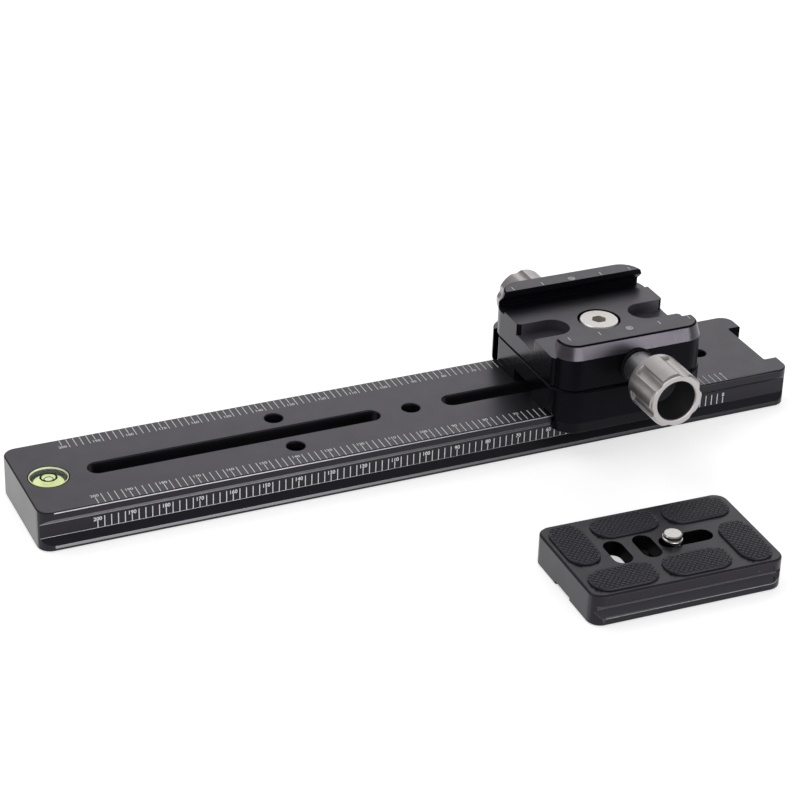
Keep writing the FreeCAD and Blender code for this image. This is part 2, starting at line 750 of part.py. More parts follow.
def build_knob(clamp):
    """Washer, collar, fluted knob and stud, each turned about the knob's axis."""
    outward = Rotation(Vector(1, 0, 0), 90)
    zero = Size.of(0)
    jaw_face = plate_face + size.jaw_plate + clamp.opening
    collar_foot = jaw_face + size.washer_height
    knob_foot = collar_foot + size.collar_length
    stud_half = size.stud_diameter / 2

    washer = new_body(f"{clamp.name}_knob_washer")
    washer_half = size.washer_diameter / 2
    washer_bore = stud_half + size.stud_bore_play
    revolve(washer, [(washer_bore, zero), (washer_half, zero),
                     (washer_half, size.washer_height), (washer_bore, size.washer_height)])
    clamp.put(washer, y=-jaw_face, z=size.stud_z, rotation=outward)

    collar = new_body(f"{clamp.name}_knob_collar")
    collar_half = size.collar_diameter / 2
    edge = size.bore_edge
    revolve(collar, [(stud_half, zero), (collar_half - edge, zero), (collar_half, edge),
                     (collar_half, size.collar_length), (stud_half, size.collar_length)])
    clamp.put(collar, y=-collar_foot, z=size.stud_z, rotation=outward)

    knob = new_body(f"{clamp.name}_knob")
    knob_half = size.knob_diameter / 2
    bore = size.knob_bore / 2
    length = size.knob_length
    bore_foot = length - size.knob_bore_depth
    turned = revolve(knob, [
        (stud_half, zero), (knob_half - size.knob_back_edge, zero),
        (knob_half, size.knob_back_edge), (knob_half, length - size.knob_edge),
        (knob_half - size.knob_edge, length), (bore + edge, length), (bore, length - edge),
        (bore, bore_foot), (stud_half, bore_foot)])
    flute = new_sketch(knob, "XY_Plane", size.flute_start)
    draw_circle(flute, (knob_half - size.flute_depth + size.flute_radius, zero),
                size.flute_radius)
    cut = pocket(knob, flute, length, reverse=True)
    pattern = knob.newObject("PartDesign::PolarPattern", "Flutes")
    pattern.Originals = [cut]
    pattern.Axis = (flute, ["N_Axis"])
    pattern.Angle = 360
    bind(pattern, "Occurrences", size.flute_count)
    knob.Tip = pattern
    doc.recompute()
    clamp.put(knob, y=-knob_foot, z=size.stud_z, rotation=outward * clamp.knob_turn)

    stud = new_body(f"{clamp.name}_knob_stud")
    stud_foot = size.clamp_front - size.stud_depth + clamp.opening
    stud_end = knob_foot + bore_foot
    stud_length = stud_end - stud_foot
    tip = size.bore_edge * 2
    revolve(stud, [(zero, zero), (stud_half - tip, zero), (stud_half, tip),
                   (stud_half, stud_length), (zero, stud_length)])
    clamp.put(stud, y=-stud_foot, z=size.stud_z, rotation=outward)


# ---------------------------------------------------------------- fasteners of the double clamp

def build_joining_screw():
    body = new_body("joining_screw")
    zero = Size.of(0)
    head = size.head_diameter / 2
    shank = size.shank_diameter / 2
    floor = size.clamp_floor
    foot = -size.clamp_floor + size.screw_end_gap
    edge = size.head_edge
    turned = revolve(body, [
        (zero, foot), (shank - edge, foot), (shank, foot + edge),
        (shank, floor - size.head_height), (head, floor - size.head_height),
        (head, floor - edge), (head - edge, floor), (zero, floor)])
    socket = new_sketch(body, "XY_Plane", floor)
    flat_half = size.hex_across / 2
    slope = Size(math.tan(math.radians(30)), "tan(30 deg)")
    point_half = flat_half * slope * 2
    side_half = flat_half * slope
    draw_polygon(socket, [
        (point_half, zero), (side_half, flat_half), (-side_half, flat_half),
        (-point_half, zero), (-side_half, -flat_half), (side_half, -flat_half)])
    pocket(body, socket, size.hex_depth)
    UPPER.put(body)


def build_dowels():
    pins = []
    for side in (-1, 1):
        pin = doc.addObject("Part::Cylinder", "SeamDowel")
        bind(pin, "Radius", size.dowel_diameter / 2)
        bind(pin, "Height", size.dowel_length)
        place(pin, side * size.dowel_spacing / 2, 0.0, -size.dowel_length / 2)
        pins.append(pin)
    group = doc.addObject("Part::Compound", "seam_dowels")
    group.Label = "seam_dowels"
    group.Links = pins
    UPPER.put(group)
    PARTS.append(group)


# ---------------------------------------------------------------- quick-release plate

PLATE_TURN = Rotation(Vector(0, 0, 1), size.plate_yaw.value)


def put_on_plate(part, x=0.0, y=0.0, z=0.0):
    """Place a part at a point of the plate's frame: its centre, on the underside."""
    turn = size.plate_yaw.text
    x, y = Size.of(x), Size.of(y)
    part.Placement = FreeCAD.Placement(Vector(0, 0, 0), PLATE_TURN)
    part.setExpression("Placement.Base.x", f"{size.plate_x.text} + {x.text} * cos({turn} * 1 deg)"
                                           f" - {y.text} * sin({turn} * 1 deg)")
    part.setExpression("Placement.Base.y", f"{size.plate_y.text} + {x.text} * sin({turn} * 1 deg)"
                                           f" + {y.text} * cos({turn} * 1 deg)")
    bind(part, "Placement.Base.z", z)


def pad_places():
    """Name, centre and direction of each rubber pad; the pattern is point-symmetric."""
    row = size.pad_row_y
    return [
        ("pad_rear_left", -size.pad_near_x, row, "x"),
        ("pad_rear_right", size.pad_far_x, row, "x"),
        ("pad_front_left", -size.pad_far_x, -row, "x"),
        ("pad_front_right", size.pad_near_x, -row, "x"),
        ("pad_left_end", -size.pad_end_x, size.pad_end_y, "y"),
        ("pad_right_end", size.pad_end_x, -size.pad_end_y, "y"),
    ]


def build_plate():
    body = new_body("plate_body")
    half = size.plate_length / 2
    side = size.plate_width / 2
    top = size.plate_height
    zero = Size.of(0)
    outline = new_sketch(body, "XY_Plane")
    draw_box(outline, (-half, -side), (half, side), [size.plate_corner] * 4)
    block = pad(body, outline, top)
    chamfer(body, block, lambda edge: level_at(edge, top) or level_at(edge, zero), size.plate_edge)

    # side grooves: a dovetail cutter runs in from each long side and leaves round ends
    wall = side - size.plate_recess
    axis = wall + size.cutter_radius
    run = size.groove_length / 2
    for sign in (-1, 1):
        section = [
            (sign * wall, size.plate_flange + size.plate_recess),
            (sign * wall, size.plate_groove_top), (sign * axis, size.plate_groove_top),
            (sign * axis, size.plate_flange), (sign * side, size.plate_flange)]
        groove = new_sketch(body, "YZ_Plane")
        draw_polygon(groove, section)
        pocket(body, groove, size.groove_length, symmetric=True)
        for end in (-1, 1):
            profile = new_sketch(body, "YZ_Plane", end * run)
            draw_polygon(profile, section)
            cutter = body.newObject("PartDesign::Groove", "GrooveEnd")
            cutter.Profile = profile
            line = body.newObject("PartDesign::Line", "CutterAxis")
            line.Placement = FreeCAD.Placement(Vector(0, 0, 0), Rotation())
            bind(line, "Placement.Base.x", end * run)
            bind(line, "Placement.Base.y", sign * axis)
            doc.recompute()
            cutter.ReferenceAxis = (line, [""])
            cutter.Angle = 360
            doc.recompute()

    # slots through the plate
    openings = new_sketch(body, "XY_Plane")
    cross_run = (size.cross_slot_length - size.cross_slot_width) / 2
    for x in (size.cross_slot_x, size.cross_slot_x + size.cross_slot_gap):
        draw_stadium(openings, (x, -cross_run), (x, cross_run), size.cross_slot_width)
    slot_end = size.screw_slot_width / 2
    draw_stadium(openings, (size.screw_slot_from + slot_end, zero),
                 (size.screw_slot_to - slot_end, zero), size.screw_slot_width)
    pocket(body, openings, top * 2, symmetric=True)

    # recess under the cross slots, which leaves a thin web there
    middle = size.cross_slot_x + size.cross_slot_gap / 2
    reach, wide = size.strap_recess_length / 2, size.strap_recess_width / 2
    hollow = new_sketch(body, "XY_Plane")
    draw_box(hollow, (middle - reach, -wide), (middle + reach, wide), [size.strap_recess_corner] * 4)
    pocket(body, hollow, size.strap_recess_depth, reverse=True)

    # recess for the screw's head and the shallow key channel that leaves at the left end
    head_half = size.head_slot_width / 2
    head_room = new_sketch(body, "XY_Plane")
    draw_stadium(head_room, (size.screw_slot_from + slot_end, zero),
                 (size.screw_slot_to - slot_end, zero), size.head_slot_width)
    pocket(body, head_room, size.head_slot_depth, reverse=True)
    key = new_sketch(body, "XY_Plane")
    key_half = size.key_width / 2
    draw_polygon(key, [(-half - key_half, -key_half), (size.screw_slot_to, -key_half),
                       (size.screw_slot_to, key_half), (-half - key_half, key_half)])
    pocket(body, key, size.key_depth, reverse=True)

    put_on_plate(body)


def build_pads():
    """Six rubber pads with round ends, glued to the plate's top."""
    zero = Size.of(0)
    run = (size.pad_length - size.pad_width) / 2
    for name, x, y, direction in pad_places():
        body = new_body(name)
        sketch = new_sketch(body, "XY_Plane")
        end = (run, zero) if direction == "x" else (zero, run)
        draw_stadium(sketch, (-end[0], -end[1]), end, size.pad_width)
        pad(body, sketch, size.pad_height)
        put_on_plate(body, x, y, size.plate_height)


def build_camera_screw():
    body = new_body("camera_screw")
    zero = Size.of(0)
    head = size.camera_head / 2
    neck = size.camera_neck / 2
    thread = size.camera_thread / 2
    web_foot = size.head_slot_depth
    head_top = web_foot - size.camera_play
    head_foot = head_top - size.camera_head_height
    neck_top = size.plate_height + size.camera_play
    top = size.plate_height + size.camera_rise
    edge = size.camera_edge
    small = size.bore_edge
    revolve(body, [
        (zero, head_foot), (head - small, head_foot), (head, head_foot + small),
        (head, head_top), (neck, head_top), (neck, neck_top), (thread, neck_top),
        (thread, top - edge), (thread - edge, top), (zero, top)])
    slot = new_sketch(body, "XY_Plane", head_foot)
    slot_half = size.camera_slot / 2
    draw_polygon(slot, [(-head - slot_half, -slot_half), (head + slot_half, -slot_half),
                        (head + slot_half, slot_half), (-head - slot_half, slot_half)])
    pocket(body, slot, size.camera_slot_depth, reverse=True)
    rest = size.screw_slot_from + size.camera_thread / 2 + size.camera_rest
    put_on_plate(body, rest, 0.0, 0.0)


# ---------------------------------------------------------------- build and write

build_rail()
build_level()
for clamp in (UPPER, LOWER):
    build_clamp_body(clamp, has_head_bore=clamp is UPPER)
    build_jaw(clamp)
    build_guides(clamp)
    build_springs(clamp)
    build_knob(clamp)
build_joining_screw()
build_dowels()
build_plate()
build_pads()
build_camera_screw()
doc.recompute()

for item in doc.Objects:
    if "Invalid" in item.State or "Error" in item.State:
        raise RuntimeError(f"{item.Label} ({item.TypeId}) failed: {item.State}")

os.makedirs("parts", exist_ok=True)
for part in PARTS:
    shape = part.Shape
    if shape.isNull() or not shape.isValid() or not shape.Solids:
        raise RuntimeError(f"{part.Label} has no valid solid")
    shape.exportStep(os.path.join("parts", f"{part.Label}.step"))
    print(f"{part.Label}: {len(shape.Solids)} solid(s), {shape.Volume:.1f} mm3")
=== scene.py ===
"""Looks of the macro focusing rail: rail, double clamp with two knobs, and a loose plate.

Lengths are metres in the frame of the CAD model: +X along the rail, +Z up, and the origin under
the centre hole.
"""
import json
import math

import bmesh
import bpy
from mathutils import Matrix, Vector

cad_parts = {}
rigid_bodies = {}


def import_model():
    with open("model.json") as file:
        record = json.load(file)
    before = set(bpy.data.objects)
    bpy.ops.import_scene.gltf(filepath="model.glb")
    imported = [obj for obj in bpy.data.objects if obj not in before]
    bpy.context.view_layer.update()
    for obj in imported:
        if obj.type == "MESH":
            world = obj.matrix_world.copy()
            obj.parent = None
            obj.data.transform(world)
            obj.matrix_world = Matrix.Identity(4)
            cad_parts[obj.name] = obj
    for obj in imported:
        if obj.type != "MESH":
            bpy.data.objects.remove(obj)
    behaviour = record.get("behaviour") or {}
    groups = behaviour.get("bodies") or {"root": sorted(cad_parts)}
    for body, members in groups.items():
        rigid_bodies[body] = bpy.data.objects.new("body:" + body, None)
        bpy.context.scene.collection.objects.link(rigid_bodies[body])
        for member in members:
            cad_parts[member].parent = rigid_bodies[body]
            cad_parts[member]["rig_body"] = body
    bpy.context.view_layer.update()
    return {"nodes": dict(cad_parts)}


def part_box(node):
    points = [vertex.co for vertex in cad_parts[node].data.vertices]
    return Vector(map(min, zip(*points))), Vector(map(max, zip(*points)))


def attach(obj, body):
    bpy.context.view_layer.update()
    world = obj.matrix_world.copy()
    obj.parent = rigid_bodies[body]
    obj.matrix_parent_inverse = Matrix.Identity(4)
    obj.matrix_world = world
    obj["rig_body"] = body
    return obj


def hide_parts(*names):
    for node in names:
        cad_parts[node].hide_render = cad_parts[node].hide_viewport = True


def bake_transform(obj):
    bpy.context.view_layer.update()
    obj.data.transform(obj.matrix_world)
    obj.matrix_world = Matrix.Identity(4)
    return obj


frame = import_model()
mm = 0.001


# ---- Rail -------------------------------------------------------------------------------------
# An extruded aluminium dovetail bar, milled to length, bead-blasted and anodised black. Its edges
# are broken by hand, and each one carries a thin bright line: partly its small round, partly a
# painted highlight in pale metal that fades out towards the right end.

def fill(tree, node, values):
    """Give a node its inputs, by name or number, each as a value or as a socket to link."""
    for label, value in values.items():
        if isinstance(value, bpy.types.NodeSocket):
            tree.links.new(value, node.inputs[label])
        else:
            node.inputs[label].default_value = value
    return node


def add_node(tree, kind, values):
    """A new node with these inputs."""
    return fill(tree, tree.nodes.new(kind), values)


def math_node(tree, operation, *values):
    """A Math node; each value is a number or a socket to link."""
    node = tree.nodes.new("ShaderNodeMath")
    node.operation = operation
    return fill(tree, node, dict(enumerate(values))).outputs[0]


def noise_node(tree, vector, scale, detail):
    """A noise texture's grey value; scale is a number or a socket."""
    return add_node(tree, "ShaderNodeTexNoise", {
        "Vector": vector, "Scale": scale, "Detail": detail}).outputs["Fac"]


def new_material(name):
    """An empty material with its output, its node tree and one Principled shader."""
    material = bpy.data.materials.new(name)
    material.use_nodes = True
    tree = material.node_tree
    tree.nodes.clear()
    output = tree.nodes.new("ShaderNodeOutputMaterial")
    shader = tree.nodes.new("ShaderNodeBsdfPrincipled")
    tree.links.new(shader.outputs["BSDF"], output.inputs["Surface"])
    return material, tree, shader


def new_group(name, inputs, outputs):
    """A shader node group with named sockets; inputs are (name, kind, default)."""
    group = bpy.data.node_groups.new(name, "ShaderNodeTree")
    for label, kind, value in inputs:
        socket = group.interface.new_socket(label, in_out="INPUT", socket_type="NodeSocket" + kind)
        if value is not None:
            socket.default_value = value
    for label, kind in outputs:
        group.interface.new_socket(label, in_out="OUTPUT", socket_type="NodeSocket" + kind)
    return group, group.nodes.new("NodeGroupInput"), group.nodes.new("NodeGroupOutput")


# Fine grain of a blasted or moulded surface: an uneven roughness, and a height for a bump.
grain, grain_in, grain_out = new_group(
    "surface_grain",
    [("Vector", "Vector", None), ("Scale", "Float", 9000.0), ("Roughness", "Float", 0.4),
     ("Spread", "Float", 0.1)],
    [("Roughness", "Float"), ("Height", "Float")])
given = grain_in.outputs
fine = noise_node(grain, given["Vector"], given["Scale"], 2.0)
broad = noise_node(grain, given["Vector"], math_node(grain, "MULTIPLY", given["Scale"], 0.02), 3.0)
centred = math_node(grain, "SUBTRACT", math_node(grain, "ADD", fine, broad), 1.0)
swing = math_node(grain, "MULTIPLY", centred, given["Spread"])
fill(grain, grain_out, {
    "Roughness": math_node(grain, "ADD", swing, given["Roughness"]), "Height": fine})

# Dust that has settled on the black parts: a few pale specks, far apart.
dust, dust_in, dust_out = new_group(
    "dust_specks",
    [("Vector", "Vector", None), ("Scale", "Float", 300.0), ("Size", "Float", 0.04)],
    [("Mask", "Float")])
given = dust_in.outputs
cells = add_node(dust, "ShaderNodeTexVoronoi", {"Vector": given["Vector"], "Scale": given["Scale"]})
near = math_node(dust, "LESS_THAN", cells.outputs["Distance"], given["Size"])
few = math_node(dust, "LESS_THAN", noise_node(dust, given["Vector"], 70.0, 1.0), 0.47)
fill(dust, dust_out, {"Mask": math_node(dust, "MULTIPLY", near, few)})
violet_sheen = (0.92, 0.85, 1.0, 1.0)


def add_grain(tree, shader, scale, roughness, spread, bump):
    """Give a shader the grain group's roughness and bump; bump is the grain's depth."""
    place = tree.nodes.new("ShaderNodeTexCoord").outputs["Object"]
    skin = tree.nodes.new("ShaderNodeGroup")
    skin.node_tree = grain
    fill(tree, skin, {"Vector": place, "Scale": scale, "Roughness": roughness, "Spread": spread})
    relief = add_node(tree, "ShaderNodeBump", {
        "Strength": 1.0, "Distance": bump, "Height": skin.outputs["Height"]})
    fill(tree, shader, {"Roughness": skin.outputs["Roughness"], "Normal": relief.outputs["Normal"]})
    return place


def mix_colours(tree, shader, mask, low, high):
    """Give a shader a base colour that goes from low to high with a mask."""
    mix = tree.nodes.new("ShaderNodeMix")
    mix.data_type = "RGBA"
    fill(tree, mix, {"Factor": mask, "A": (*low, 1.0), "B": (*high, 1.0)})
    fill(tree, shader, {"Base Color": mix.outputs["Result"]})


def settle_dust(tree, shader, place, specks, low, high):
    """Put dust of the colour high on the colour low; specks are the dust group's inputs."""
    settled = tree.nodes.new("ShaderNodeGroup")
    settled.node_tree = dust
    fill(tree, settled, {"Vector": place, **specks})
    mix_colours(tree, shader, settled.outputs["Mask"], low, high)


def black_anodised(name, colour, roughness, specular, speck):
    """Satin black anodised aluminium with a little dust on it."""
    material, tree, shader = new_material(name)
    fill(tree, shader, {"Specular IOR Level": specular, "Specular Tint": violet_sheen})
    place = add_grain(tree, shader, 9000.0, roughness, 0.12, 0.004 * mm)
    pale = [5.0 * value + 0.08 for value in colour]
    settle_dust(tree, shader, place, {"Size": speck}, colour, pale)
    return material


def plain(name, values, skin=None):
    """A material with these shader inputs, colours as three values, and the grain of skin."""
    material, tree, shader = new_material(name)
    fill(tree, shader, {label: (*value, 1.0) if isinstance(value, tuple) else value
                        for label, value in values.items()})
    if skin:
        add_grain(tree, shader, *skin)
    return material


def mottled_metal(name, skin, tone_scale, low, high):
    """Bare metal with the grain of skin, whose colour wanders a little between low and high."""
    material, tree, shader = new_material(name)
    fill(tree, shader, {"Metallic": 1.0})
    tone = noise_node(tree, add_grain(tree, shader, *skin), tone_scale, 2.0)
    mix_colours(tree, shader, tone, low, high)
    return material


def new_object(name, data):
    """An object that is linked to the scene."""
    thing = bpy.data.objects.new(name, data)
    bpy.context.scene.collection.objects.link(thing)
    return thing


weld_distance = 0.0005 * mm
flat_angle = math.radians(0.5)
sharp_angle = math.radians(14.0)


def machined(node, name, width, materials, choose=None, edge=1, highlighted=(), cuts=()):
    """A CAD piece with its edges broken by a small round.

    Choose gives the number of each face's material, and edge that of the broken edges, where -1 is
    the material beside them. Cuts lists planes, as (point, normal), where faces are split first, and
    highlighted lists edges that get a round of their own, as (test, width, number), in a material
    that paints a highlight.
    """
    source = frame["nodes"][node]
    mesh = source.data.copy()
    mesh.name = name
    mesh.materials.clear()
    for material in materials:
        mesh.materials.append(material)
    build = bmesh.new()
    build.from_mesh(mesh)
    bmesh.ops.remove_doubles(build, verts=build.verts, dist=weld_distance)
    bmesh.ops.dissolve_limit(build, angle_limit=flat_angle, verts=build.verts, edges=build.edges)
    build.normal_update()
    for point, direction in cuts:
        bmesh.ops.bisect_plane(build, geom=build.verts[:] + build.edges[:] + build.faces[:],
                               plane_co=point, plane_no=direction)
    for face in build.faces:
        face.material_index = choose(face) if choose else 0
    # edges that get a round of their own, in a material that paints a highlight on them
    for test, round_width, number in highlighted:
        worn_or_lit = [item for item in build.edges if test(item)]
        bmesh.ops.bevel(build, geom=worn_or_lit, offset=round_width, segments=4, profile=0.5,
                        affect="EDGES", material=number, clamp_overlap=False)
    for face in build.faces:
        face.smooth = True
    build.to_mesh(mesh)
    build.free()
    piece = new_object(name, mesh)
    rounding = piece.modifiers.new("broken_edges", "BEVEL")
    rounding.width = width
    rounding.segments = 2
    rounding.limit_method = "ANGLE"
    rounding.angle_limit = sharp_angle
    rounding.use_clamp_overlap = False
    rounding.material = edge
    flattening = piece.modifiers.new("flat_faces", "WEIGHTED_NORMAL")
    flattening.weight = 90
    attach(piece, source["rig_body"])
    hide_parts(node)


def narrow(face, width):
    """Whether a face is a long chamfer, narrower than width."""
    longest = max(item.calc_length() for item in face.edges)
    return longest > 2.5 * mm and face.calc_area() < width * longest

rail_black = black_anodised("rail_black", (0.0085, 0.0078, 0.0105), 0.36, 0.64, 0.03)
# upright faces get a less glossy copy of the black: painted shade
rail_shaded_side = black_anodised("rail_side_black", (0.009, 0.0088, 0.011), 0.36, 0.3, 0.03)
# near-black for the walls of the rail's notch and the plate's slots: painted shade
slot_shade = black_anodised("slot_shade", (0.002, 0.002, 0.0025), 0.5, 0.03, 0.0)
# a lighter, glossier skin for rounded edges: a painted highlight
edge_highlight = plain("edge_highlight", {"Base Color": (0.03, 0.029, 0.033), "IOR": 2.2},
                  (5000.0, 0.32, 0.15, 0.002 * mm))
# the painted highlight is full left of x = -45 mm and gone right of x = 85 mm
highlight_from, highlight_to = 85 * mm, -45 * mm


def rubbed_metal(name, colour, metallic):
    """A painted highlight: pale metal, full at the left end and fading to black towards the right.
    """
    material, tree, shader = new_material(name)
    fill(tree, shader, {"Metallic": metallic})
    place = add_grain(tree, shader, 5000.0, 0.34, 0.15, 0.002 * mm)
    apart = add_node(tree, "ShaderNodeSeparateXYZ", {"Vector": place})
    ramp = add_node(tree, "ShaderNodeMapRange", {
        "Value": apart.outputs["X"], "From Min": highlight_from, "From Max": highlight_to})
    mix_colours(tree, shader, ramp.outputs["Result"], (0.012, 0.012, 0.014), colour)
    return material


# pale metal on the rail's rounded edges, its lip and the flange's underside: painted highlights
rail_edge_highlight = rubbed_metal("rail_edge_highlight", (0.5, 0.49, 0.52), 0.4)
rail_foot_highlight = rubbed_metal("rail_foot_highlight", (0.3, 0.295, 0.31), 0.3)
# a lighter, glossier copy for the rail's left end face: a painted highlight
rail_end_highlight = plain("rail_end_highlight", {"Base Color": (0.07, 0.068, 0.066), "IOR": 1.95},
                 (7000.0, 0.34, 0.1, 0.003 * mm))
rail_low, rail_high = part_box("rail_body")
rail_top = rail_high.z
chamfer_foot = rail_high.z - 0.3 * mm
flange_foot = rail_low.z + 10.1 * mm
band_top = rail_low.z + 8.1 * mm
band_low = rail_low.z + 3.7 * mm
lip_top = rail_low.z + 1.7 * mm
lip_highlight_low = rail_low.z + 0.85 * mm
end_zone = 4.2 * mm
notch_zone = 16.0 * mm


def rail_finish(face):
    """Lit and shaded copies of the black, painted light chosen by where a face lies and turns."""
    middle = face.calc_center_median()
    if face.normal.x < -0.95 and middle.x < rail_low.x + 0.5 * mm:
        return 3
    on_lip = (abs(face.normal.y) > 0.95 and abs(middle.y) > rail_high.y - 0.1 * mm
              and lip_highlight_low < middle.z < lip_top and abs(middle.x) < rail_high.x - end_zone)
    if on_lip or (face.normal.z < -0.6 and band_top < middle.z < flange_foot):
        return 4
    in_notch = middle.x > rail_high.x - notch_zone and abs(middle.y) < rail_high.y - 3.0 * mm
    if in_notch and abs(face.normal.z) < 0.3 and face.normal.x < 0.5:
        return 5
    return 0 if face.normal.z > 0.9 else 2


def runs_along(edge, height, shortest):
    """Whether an edge runs along the rail's side at this height."""
    slack = 0.01 * mm
    first, last = (vert.co for vert in edge.verts)
    level = abs(first.z - height) < slack and abs(last.z - height) < slack
    straight = abs(first.y - last.y) < slack and abs(first.y) > rail_high.y - 2.5 * mm
    return level and straight and abs(first.x - last.x) > shortest


machined("rail_body", "dovetail_rail", 0.12 * mm,
         [rail_black, rail_edge_highlight, rail_shaded_side, rail_end_highlight, rail_foot_highlight, slot_shade],
         rail_finish, edge=-1,
         highlighted=((lambda edge: runs_along(edge, chamfer_foot, 20 * mm), 0.17 * mm, 1),
                 (lambda edge: runs_along(edge, band_top, 1 * mm), 0.1 * mm, 1),
                 (lambda edge: runs_along(edge, band_low, 1 * mm), 0.06 * mm, 1)),
         cuts=(((rail_low.x + end_zone, 0, 0), (1, 0, 0)),
               ((rail_high.x - end_zone, 0, 0), (1, 0, 0)),
               ((0, 0, lip_highlight_low), (0, 0, 1))))


# ---- Scales on the rail -----------------------------------------------------------------------
# Three scales in millimetres, laser-marked pale grey: one along each long edge of the top and one
# on the upright band in front. A tick stands every 2 mm; every fifth is short and has a number.

def laser_grey(name, colour):
    """Laser-marked anodising: pale, dry and very slightly uneven."""
    material, tree, shader = new_material(name)
    place = add_grain(tree, shader, 12000.0, 0.6, 0.1, 0.002 * mm)
    worn_or_lit = [0.75 * value for value in colour]
    mix_colours(tree, shader, noise_node(tree, place, 4000.0, 1.0), worn_or_lit, colour)
    return material


def new_modifier_tree(name, inputs):
    """A geometry node tree with named inputs and one geometry output."""
    tree = bpy.data.node_groups.new(name, "GeometryNodeTree")
    tree.interface.new_socket("Geometry", in_out="INPUT", socket_type="NodeSocketGeometry")
    for label, kind in inputs:
        tree.interface.new_socket(label, in_out="INPUT", socket_type="NodeSocket" + kind)
    tree.interface.new_socket("Geometry", in_out="OUTPUT", socket_type="NodeSocketGeometry")
    return tree, tree.nodes.new("NodeGroupInput"), tree.nodes.new("NodeGroupOutput")

def close_tree(tree, outlet, shape, material):
    """Make a shape's instances real, give them their material and pass them on."""
    real = add_node(tree, "GeometryNodeRealizeInstances", {"Geometry": shape})
    coloured = add_node(tree, "GeometryNodeSetMaterial", {
        "Geometry": real.outputs["Geometry"], "Material": material})
    fill(tree, outlet, {"Geometry": coloured.outputs["Geometry"]})


def plain_mesh(thing):
    """The mesh of an object with its modifiers applied."""
    evaluated = thing.evaluated_get(bpy.context.evaluated_depsgraph_get())
    return bpy.data.meshes.new_from_object(evaluated)


def grow(tree, name, values):
    """The plain mesh that a geometry node tree makes with these input values."""
    seed = new_object(name, bpy.data.meshes.new(name))
    modifier = seed.modifiers.new(name, "NODES")
    modifier.node_group = tree
    for item in tree.interface.items_tree:
        if item.in_out == "INPUT" and item.name in values:
            modifier[item.identifier] = values[item.name]
    mesh = plain_mesh(seed)
    mesh.name = name
    bpy.data.objects.remove(seed)
    return mesh


def combine(tree, *values):
    """A vector of three values, each a number or a socket to link."""
    return add_node(tree, "ShaderNodeCombineXYZ", dict(enumerate(values))).outputs["Vector"]


ticks, ticks_in, ticks_out = new_modifier_tree("scale_ticks", [
    ("Count", "Int"), ("Pitch", "Float"), ("Every", "Int"), ("Long", "Float"), ("Short", "Float"),
    ("Width", "Float"), ("Thickness", "Float"), ("Ink", "Material")])
given = ticks_in.outputs
row = add_node(ticks, "GeometryNodeMeshLine", {
    "Count": given["Count"], "Offset": combine(ticks, given["Pitch"], 0.0, 0.0)})
index_node = ticks.nodes.new("GeometryNodeInputIndex")
number_here = math_node(ticks, "MODULO", index_node.outputs["Index"], given["Every"])
length = add_node(ticks, "ShaderNodeMix", {
    "Factor": math_node(ticks, "GREATER_THAN", number_here, 0.5),
    "A": given["Short"], "B": given["Long"]})
block = add_node(ticks, "GeometryNodeMeshCube", {
    "Size": combine(ticks, given["Width"], 1.0, given["Thickness"])})
half_thick = math_node(ticks, "MULTIPLY", given["Thickness"], 0.5)
raised = add_node(ticks, "GeometryNodeTransform", {
    "Geometry": block.outputs["Mesh"], "Translation": combine(ticks, 0.0, 0.5, half_thick)})
laid = add_node(ticks, "GeometryNodeInstanceOnPoints", {
    "Points": row.outputs["Mesh"], "Instance": raised.outputs["Geometry"],
    "Scale": combine(ticks, 1.0, length.outputs["Result"], 1.0)})
close_tree(ticks, ticks_out, laid.outputs["Instances"], given["Ink"])


def add_number(build, text, cap_height, thickness, place):
    """Add a printed number to a mesh, centred on the origin of place."""
    curve = bpy.data.curves.new("number", "FONT")
    curve.body = text
    curve.size = cap_height / 0.69
    curve.align_x = "CENTER"
    curve.extrude = thickness / 2
    curve.offset = cap_height * 0.035
    curve.resolution_u = 3
    seed = new_object("number", curve)
    mesh = plain_mesh(seed)
    mesh.transform(place @ Matrix.Translation((0.0, -cap_height / 2, thickness / 2)))
    build.from_mesh(mesh)
    bpy.data.objects.remove(seed)


def facing(origin, right, up):
    """A frame whose x runs along right, whose y runs along up and whose z faces out."""
    right, up = Vector(right), Vector(up)
    rotation = Matrix((right, up, right.cross(up))).transposed().to_4x4()
    return Matrix.Translation(origin) @ rotation


def ride_mesh(mesh, name, material, body):
    """A finished mesh as a piece on a body."""
    mesh.name = name
    mesh.materials.clear()
    mesh.materials.append(material)
    piece = new_object(name, mesh)
    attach(piece, body)
    return piece


laser_mark = laser_grey("laser_mark", (0.8, 0.8, 0.79))
mark_thickness = 0.012 * mm
line_width = 0.27 * mm
scale_zero = 97.5 * mm
tick_pitch = 2.0 * mm
tick_count = 101
ticks_per_number = 5
top_edge = 0.5 * mm
recess = 2.0 * mm
band_foot = rail_low.z + 3.75 * mm
cap_height = 1.15 * mm


def print_scale(name, outer_end, inward, long_tick, short_tick, number_at, reading):
    """One scale: outer_end is where its ticks start at the number 0, and inward the way they run."""
    right = -along if (-along).cross(inward).dot(reading[2]) > 0 else along
    start = Vector(outer_end) + scale_zero * along
    if right.x > 0:
        start.x -= tick_pitch * (tick_count - 1)
    mesh = grow(ticks, name, {
        "Count": tick_count, "Pitch": tick_pitch, "Every": ticks_per_number, "Long": long_tick,
        "Short": short_tick, "Width": line_width, "Thickness": mark_thickness, "Ink": laser_mark})
    mesh.transform(facing(start, right, inward))
    build = bmesh.new()
    build.from_mesh(mesh)
    for value in range(0, 201, 10):
        here = Vector(outer_end) + number_at * inward
        here.x = scale_zero - value * mm
        add_number(build, str(value), cap_height, mark_thickness,
                   facing(here, reading[0], reading[1]))
    build.to_mesh(mesh)
    build.free()
    ride_mesh(mesh, name, laser_mark, "rail")


